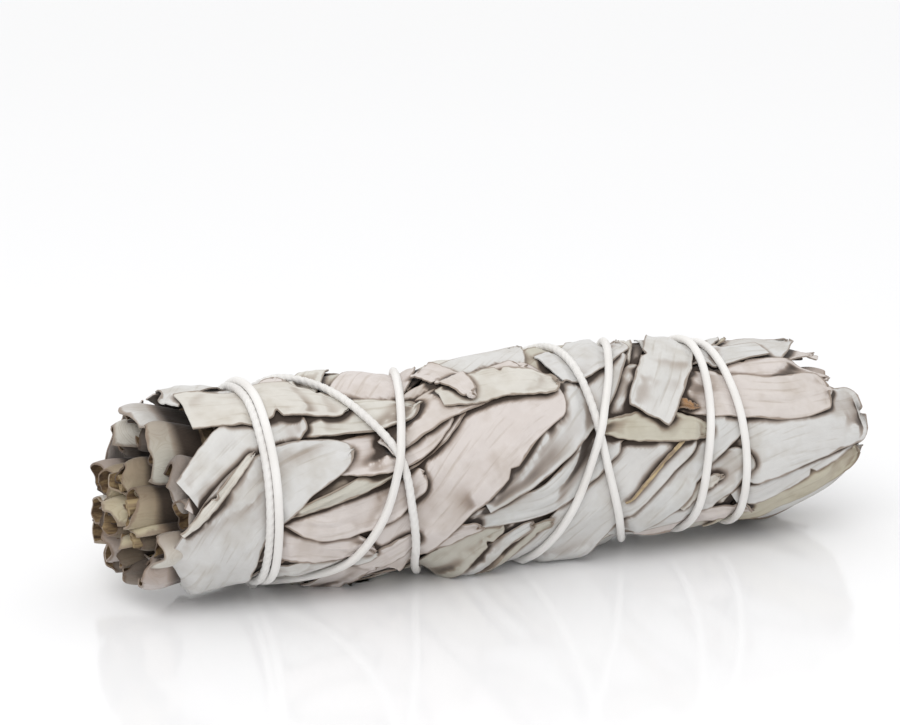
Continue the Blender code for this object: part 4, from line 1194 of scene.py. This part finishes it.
class SAGE_OT_packed_leaves(bpy.types.Operator):
    """Makes the packed, browned leaves that fill the bunch behind its outer ones; their dark brown is partly
    painted shade of the gaps
    """

    bl_idname = "sage.packed_leaves"
    bl_label = "Packed Leaves"

    def execute(self, context):
        wrap, laid, string = wrapped_bunch()
        rings, sides = PACKED_GRID
        core, order = grid_blank("packed_leaves", rings, sides)
        row, column = np.meshgrid(np.arange(rings), np.arange(sides), indexing="ij")
        along = CORE_FROM + row / (rings - 1) * (CORE_TO - CORE_FROM)
        around = column / (sides - 1) * 2 * math.pi
        closed = np.clip(np.minimum(row, rings - 1 - row) / 2, 0, 1)
        points = place(along, around, wrap.read(wrap.packed, along, around) * closed)
        set_points(core, points[order])
        select_only(core)
        bpy.ops.object.mode_set(mode="EDIT")
        bpy.ops.mesh.select_all(action="SELECT")
        bpy.ops.mesh.remove_doubles(threshold=0.001 * MM)
        bpy.ops.mesh.normals_make_consistent(inside=False)
        bpy.ops.object.mode_set(mode="OBJECT")
        # dark brown, partly painted shade of the gaps between the outer leaves
        core.data.materials.append(finish(packed_leaves_brown_and_shade))
        smooth(core)
        finished(core, "leaf")
        return {"FINISHED"}


class SAGE_OT_leafy_sprigs(bpy.types.Operator):
    """Makes the outer leaves of each leafy stem, wrapped over its neighbours"""

    bl_idname = "sage.leafy_sprigs"
    bl_label = "Leafy Sprigs"

    def execute(self, context):
        settings = context.scene.sage_leaves
        wrap, laid, string = wrapped_bunch()
        blanks = {grid: grid_blank("leaf_blank", *grid) for grid in (FACING_GRID, OTHER_GRID)}
        # the smoothed surface: how far a leaf lies under it browns and darkens the leaf, partly its own
        # colour and partly painted shade in the crevices
        over = wrap.smoothed(2)
        for sprig in range(OUTER_SPRIGS):
            leaves = []
            for one in laid:
                if one.sprig == sprig:
                    lift = loosened(wrap, one, settings.thickness, settings.margin_curl)
                    radius = string.pressed(one, lift)
                    covered = wrap.read(over, one.along, one.around) - one.radius
                    leaves.append(self.leaf_object(one, radius, covered, *blanks[radius.shape]))
            made = joined(leaves, f"sprig_{sprig + 1}_foliage")
            apply_modifier(made, "SOLIDIFY", thickness=settings.thickness, offset=1.0, use_even_offset=False)
            made.data.materials.append(finish(dried_sage_leaf))
            smooth(made)
            finished(made, "leaf", f"sprig_{sprig + 1}_leaves")
        for blank, order in blanks.values():
            remove(blank)
        return {"FINISHED"}

    def leaf_object(self, one, radius, covered, blank, order):
        """A laid leaf as a mesh: a copy of the blank with its points moved to the leaf's."""
        made = copy_of(blank, "leaf")
        set_points(made, place(one.along, one.around, radius)[order])
        # painted shade and browning, by how far the point lies under the smoothed surface
        set_attribute(made, "deep", (covered / MM)[order])
        set_attribute(made, "margin", (one.margin / MM)[order])
        set_attribute(made, "tint", np.full(len(made.data.vertices), one.tint))
        set_map(made, (one.side / MM)[order], (one.down / MM)[order])
        if self.faces_inwards(made):
            made.data.flip_normals()
        return made

    def faces_inwards(self, obj):
        """Whether the blade's faces point at the bunch's axis."""
        outwards = sum(face.normal.dot((0, face.center.y, face.center.z)) for face in obj.data.polygons)
        return outwards < 0


class SAGE_OT_rolled_ends(bpy.types.Operator):
    """Makes the rolled leaf ends that show in the cut end and among the tips"""

    bl_idname = "sage.rolled_ends"
    bl_label = "Rolled Leaf Ends"

    ROWS = 32
    COLUMNS = 48

    def execute(self, context):
        settings = context.scene.sage_rolled_ends
        draw = random.Random(SEED + 2)
        blank, order = grid_blank("roll_blank", self.ROWS, self.COLUMNS)
        for name, rolls, root, scale, replaced in (
            ("cut_end_rolls", CUT_END_ROLLS, CUT_END_ROLLS_FROM, settings.cut_end_scale, ["sprig_8_leaves"]),
            ("tip_rolls", TIP_ROLLS, TIP_ROLLS_FROM, settings.tip_scale, []),
        ):
            made = joined([self.roll(blank, order, draw, one, root, scale) for one in rolls], name)
            made.data.materials.append(finish(dried_sage_leaf))
            # the insides of the rolls: brown, partly painted shade of their hollows
            made.data.materials.append(finish(rolled_leaf_inside_brown_and_shade))
            apply_modifier(made, "SOLIDIFY", thickness=settings.thickness, offset=-1.0, use_even_offset=False,
                           material_offset=1)
            smooth(made)
            finished(made, "leaf", *replaced)
        remove(blank)
        return {"FINISHED"}

    def roll(self, blank, order, draw, one, root, scale):
        """A leaf rolled into a loose, crumpled scroll, which spreads and then draws in at its end."""
        around, from_axis, radius, end, turns, tint = one
        around, from_axis, radius, end = math.radians(around), from_axis * MM, radius * MM * scale, end * MM
        share = np.linspace(0, 1, self.ROWS)[:, None] ** 0.7
        turn = np.linspace(0, 1, self.COLUMNS)[None]
        angle = draw.uniform(0, 2 * math.pi) + turn * turns * 2 * math.pi
        size = radius * (0.3 + 0.7 * turn**0.8) * (0.74 + 0.26 * share)
        oval = 1 + 0.2 * np.cos(2 * (angle - draw.uniform(0, 3)))
        crumple = 0.0
        for waves, amount in ROLL_CRUMPLES:
            phase = draw.uniform(0, A_TURN) + share * draw.uniform(-3, 3)
            crumple = crumple + draw.uniform(0.5, 1.2) * amount * np.sin(waves * angle + phase)
        size = size * oval * (1 + crumple * (0.3 + 0.7 * share))
        rim = np.clip((share - 0.66) / 0.34, 0, 1)
        size = size * (1 - draw.uniform(0.12, 0.42) * rim**2)
        ragged = 0.0
        for waves, amount in ROLL_RAGGED:
            depth = draw.uniform(0.5, 1.0) * amount * MM
            ragged = ragged + depth * np.sin(waves * angle + draw.uniform(0, A_TURN))
        inwards = 1.0 if end < 0 else -1.0
        drawn_in = ragged + 1.6 * MM + 2.0 * MM * (1 - turn) ** 2
        along = root + (end - root) * share + inwards * drawn_in * share**3
        lean = from_axis - (0.12 * from_axis + 0.5 * MM) * (1 - share) ** 1.5
        middle = place(0.0, around, lean)[..., 1:]
        across, up = middle[..., 0] + size * np.cos(angle), middle[..., 1] + size * np.sin(angle)
        made = copy_of(blank, "roll")
        set_points(made, np.stack([np.broadcast_to(along, size.shape), across, up], axis=-1)[order])
        margin = ROLL_MARGIN * np.minimum((1 - share) * abs(end - root), (1 - turn) * 6 * radius) / MM
        set_attribute(made, "margin", np.broadcast_to(margin, size.shape)[order])
        # painted shade: a roll darkens deeper in among the others and on its inner turns
        from_rim = (1 - share) * abs(end - root)
        going_in_shade = np.clip((from_rim - ROLL_SHADE_FROM) / ROLL_SHADE_OVER, 0, 1)
        deep = 0.3 + 0.4 * going_in_shade + 0.35 * (1 - turn)
        set_attribute(made, "deep", np.broadcast_to(deep, size.shape)[order])
        set_attribute(made, "tint", np.full(len(made.data.vertices), tint))
        set_map(made, (angle * size / MM)[order], np.broadcast_to(share * 14, size.shape)[order])
        if self.faces_inwards(made, middle.reshape(-1, 2).mean(axis=0)):
            made.data.flip_normals()
        return made

    def faces_inwards(self, obj, middle):
        """Whether a roll's faces point at its own middle."""
        total = 0.0
        for face in obj.data.polygons:
            total += face.normal.y * (face.center.y - middle[0]) + face.normal.z * (face.center.z - middle[1])
        return total < 0


class SAGE_OT_stems(bpy.types.Operator):
    """Makes the woody stems, cut off square"""

    bl_idname = "sage.stems"
    bl_label = "Stems"

    def execute(self, context):
        draw = random.Random(SEED + 3)
        blank = new_primitive(
            bpy.ops.mesh.primitive_cylinder_add, "stem_blank",
            vertices=STEM_SIDES, radius=STEM_RADIUS, depth=2,
        )
        bpy.ops.object.mode_set(mode="EDIT")
        bpy.ops.mesh.select_all(action="DESELECT")
        bpy.ops.object.mode_set(mode="OBJECT")
        for face in blank.data.polygons:
            face.select = face.normal.z < -0.9
        bpy.ops.object.mode_set(mode="EDIT")
        bpy.ops.mesh.inset(thickness=0.25 * MM)
        bpy.ops.mesh.inset(thickness=0.65 * MM)
        bpy.ops.transform.translate(value=(0, 0, 0.35 * MM))
        bpy.ops.object.mode_set(mode="OBJECT")
        flat = np.array([vert.co for vert in blank.data.vertices])
        for sprig in range(OUTER_SPRIGS + 1):
            cut = STEM_CUT + STEM_CUT_DEEPER - STEM_CUT_SPREAD * math.sin(3 * sprig)
            middle = sum(wedge_angles(sprig)) / 2
            from_axis = 0.0 if sprig == OUTER_SPRIGS else STEM_FROM_AXIS
            made = copy_of(blank, f"sprig_{sprig + 1}_wood")
            top = flat[:, 2] > 0.5
            uneven = 0.15 * MM * np.sin(flat[:, 0] / MM + sprig)
            along = np.where(top, STEM_TIP, cut + (flat[:, 2] + 1) + uneven)
            taper = np.where(top, STEM_TIP_RADIUS / STEM_RADIUS, 1.0)
            centre = place(0.0, middle, from_axis)
            around = np.arctan2(flat[:, 1], flat[:, 0])
            ribbed = taper * (1 + 0.05 * np.sin(4 * around + draw.uniform(0, 6)))
            across, up = centre[1] + flat[:, 1] * ribbed, centre[2] - flat[:, 0] * ribbed
            set_points(made, np.stack([along, across, up], axis=-1))
            made.data.materials.append(finish(dried_sage_stem))
            smooth(made)
            finished(made, "stem", f"sprig_{sprig + 1}_stem")
        remove(blank)
        return {"FINISHED"}


class SAGE_OT_binding_string(bpy.types.Operator):
    """Winds the string round the bunch as one twisted cord, with its knot and tails"""

    bl_idname = "sage.binding_string"
    bl_label = "Binding String"

    def execute(self, context):
        settings = context.scene.sage_string
        wrap, laid, string = wrapped_bunch()
        profile = self.ply_profile(settings.radius)
        pieces = [self.cord(string.points, profile, settings)]
        knot = (string.points[0] + string.points[-1]) / 2
        for to_along, to_around in KNOT_TAILS:
            steps = np.linspace(0, 1, TAIL_POINTS)
            along = KNOT_ALONG + (to_along * MM - KNOT_ALONG) * steps**1.3
            around = KNOT_AROUND + (math.radians(to_around) - KNOT_AROUND) * steps
            radius = string.eased(wrap.read(wrap.height, along, around), 4) + settings.radius
            radius = radius + 2 * settings.radius * (1 - steps) ** 2
            pieces.append(self.cord(place(along, around, radius), profile, settings))
        pieces.append(self.cord(self.knot_line(knot), profile, settings))
        remove_curve(profile)
        made = joined(pieces, "cotton_string")
        made.data.materials.clear()
        made.data.materials.append(finish(twisted_cotton))
        for face in made.data.polygons:
            face.use_smooth = True
        finished(made, "string", "binding_string")
        return {"FINISHED"}

    def ply_profile(self, radius):
        """The cord's section: three plies side by side."""
        bpy.ops.curve.primitive_bezier_circle_add(radius=radius)
        made = bpy.context.object
        made.name = "ply_profile"
        made.data.splines.clear()
        spline = made.data.splines.new("POLY")
        spline.points.add(PLY_SIDES - 1)
        spline.use_cyclic_u = True
        for k, point in enumerate(spline.points):
            angle = 2 * math.pi * k / PLY_SIDES
            size = radius * (1 - PLY_GROOVE + PLY_GROOVE * abs(math.cos(1.5 * angle)))
            point.co = (size * math.cos(angle), size * math.sin(angle), 0, 1)
        return made

    def knot_line(self, at):
        """A tight overhand knot about that point."""
        outwards = Vector((0, at[1], at[2])).normalized()
        turned = outwards.to_track_quat("Z", "X").to_matrix()
        points = []
        for angle in np.linspace(0, 2 * math.pi, KNOT_POINTS):
            local = Vector(
                (
                    (math.sin(angle) + 2 * math.sin(2 * angle)) * KNOT_SIZE,
                    (math.cos(angle) - 2 * math.cos(2 * angle)) * KNOT_SIZE,
                    -math.sin(3 * angle) * KNOT_SIZE + KNOT_RAISED,
                )
            )
            points.append(Vector(at) + turned @ local)
        return np.array(points)

    def cord(self, points, profile, settings):
        """A length of twisted cord through the points."""
        bpy.ops.curve.primitive_bezier_curve_add()
        made = bpy.context.object
        made.data.splines.clear()
        made.data.dimensions = "3D"
        made.data.bevel_mode = "OBJECT"
        made.data.bevel_object = profile
        made.data.use_fill_caps = True
        spline = made.data.splines.new("POLY")
        spline.points.add(len(points) - 1)
        run = np.concatenate([[0], np.cumsum(np.linalg.norm(np.diff(points, axis=0), axis=1))])
        for knot, point, gone in zip(spline.points, points, run):
            knot.co = (*point, 1.0)
            knot.tilt = 2 * math.pi * gone / settings.lay
        select_only(made)
        bpy.ops.object.convert(target="MESH")
        made = bpy.context.object
        bpy.ops.object.mode_set(mode="EDIT")
        bpy.ops.mesh.select_all(action="SELECT")
        bpy.ops.mesh.remove_doubles(threshold=0.001 * MM)
        bpy.ops.mesh.normals_make_consistent(inside=False)
        bpy.ops.object.mode_set(mode="OBJECT")
        return made


def remove_curve(obj):
    """Deletes an object and its curve."""
    curve = obj.data
    bpy.data.objects.remove(obj)
    bpy.data.curves.remove(curve)


class SAGE_OT_stage(bpy.types.Operator):
    """Sets the pale floor, the soft light and the camera"""

    bl_idname = "sage.stage"
    bl_label = "Stage"

    def execute(self, context):
        settings = context.scene.sage_stage
        floor = new_primitive(bpy.ops.mesh.primitive_plane_add, "floor", size=FLOOR_SIZE)
        floor.data.materials.append(finish(white_acrylic))
        self.backdrop(context.scene, settings)
        self.soft_light("key", settings.key_power, KEY_LIGHT_SIZE, KEY_LIGHT_AT)
        self.camera(context.scene)
        context.scene.view_settings.view_transform = "Standard"
        return {"FINISHED"}

    def backdrop(self, scene, settings):
        """An even backdrop, which also lights the scene softly."""
        world = bpy.data.worlds.new("white_backdrop")
        world.use_nodes = True
        background = world.node_tree.nodes["Background"]
        background.inputs["Color"].default_value = (*settings.backdrop, 1.0)
        background.inputs["Strength"].default_value = 1.0
        scene.world = world

    def soft_light(self, name, power, size, at):
        """A round area light that points at what the camera looks at."""
        bpy.ops.object.light_add(type="AREA", location=at)
        made = bpy.context.object
        made.name = name
        made.data.energy = power
        made.data.shape = "DISK"
        made.data.size = size
        made.rotation_euler = (CAMERA_LOOKS_AT - at).to_track_quat("-Z", "Y").to_euler()

    def camera(self, scene):
        """The camera, turned so that the bunch lies where it does in the photograph."""
        back = Vector(
            (
                -math.sin(CAMERA_TURN) * math.cos(CAMERA_HEIGHT),
                -math.cos(CAMERA_TURN) * math.cos(CAMERA_HEIGHT),
                math.sin(CAMERA_HEIGHT),
            )
        )
        at = CAMERA_LOOKS_AT + back * CAMERA_DISTANCE
        right = (-back).cross(Vector((0, 0, 1))).normalized()
        up = right.cross(-back)
        aside = (CAMERA_SEES_IT_AT[0] - IMAGE_SIZE[0] / 2) / FOCAL_PIXELS * CAMERA_DISTANCE
        below = (CAMERA_SEES_IT_AT[1] - IMAGE_SIZE[1] / 2) / FOCAL_PIXELS * CAMERA_DISTANCE
        aim = CAMERA_LOOKS_AT - right * aside + up * below
        bpy.ops.object.camera_add(location=at, rotation=(aim - at).to_track_quat("-Z", "Y").to_euler())
        made = bpy.context.object
        made.data.sensor_width = SENSOR_WIDTH
        made.data.lens = FOCAL_PIXELS * SENSOR_WIDTH / IMAGE_SIZE[0]
        made.data.clip_start = NEAREST_SEEN
        scene.camera = made


OPERATORS = (
    SAGE_OT_packed_leaves,
    SAGE_OT_leafy_sprigs,
    SAGE_OT_rolled_ends,
    SAGE_OT_stems,
    SAGE_OT_binding_string,
    SAGE_OT_stage,
)


class SAGE_PT_bunch(bpy.types.Panel):
    """Lists the bunch's pieces in the sidebar"""

    bl_label = "Sage Bunch"
    bl_idname = "SAGE_PT_bunch"
    bl_space_type = "VIEW_3D"
    bl_region_type = "UI"
    bl_category = "Sage Bunch"

    def draw(self, context):
        scene = context.scene
        for settings in (scene.sage_leaves, scene.sage_rolled_ends, scene.sage_string, scene.sage_stage):
            for name in settings.__annotations__:
                self.layout.prop(settings, name)
        for operator in OPERATORS:
            self.layout.operator(operator.bl_idname)


SETTINGS = {
    "sage_leaves": LeafSettings,
    "sage_rolled_ends": RolledEndSettings,
    "sage_string": StringSettings,
    "sage_stage": StageSettings,
}


def register():
    """Registers the settings, the operators and the panel."""
    for group in (*SETTINGS.values(), *OPERATORS, SAGE_PT_bunch):
        bpy.utils.register_class(group)
    for name, group in SETTINGS.items():
        setattr(bpy.types.Scene, name, bpy.props.PointerProperty(type=group))


def unregister():
    """Takes them away again."""
    for name in SETTINGS:
        delattr(bpy.types.Scene, name)
    for group in reversed((*SETTINGS.values(), *OPERATORS, SAGE_PT_bunch)):
        bpy.utils.unregister_class(group)


def main():
    """Makes every piece and the stage."""
    register()
    bpy.ops.sage.packed_leaves()
    bpy.ops.sage.leafy_sprigs()
    bpy.ops.sage.rolled_ends()
    bpy.ops.sage.stems()
    bpy.ops.sage.binding_string()
    bpy.ops.sage.stage()


if __name__ == "__main__":
    main()
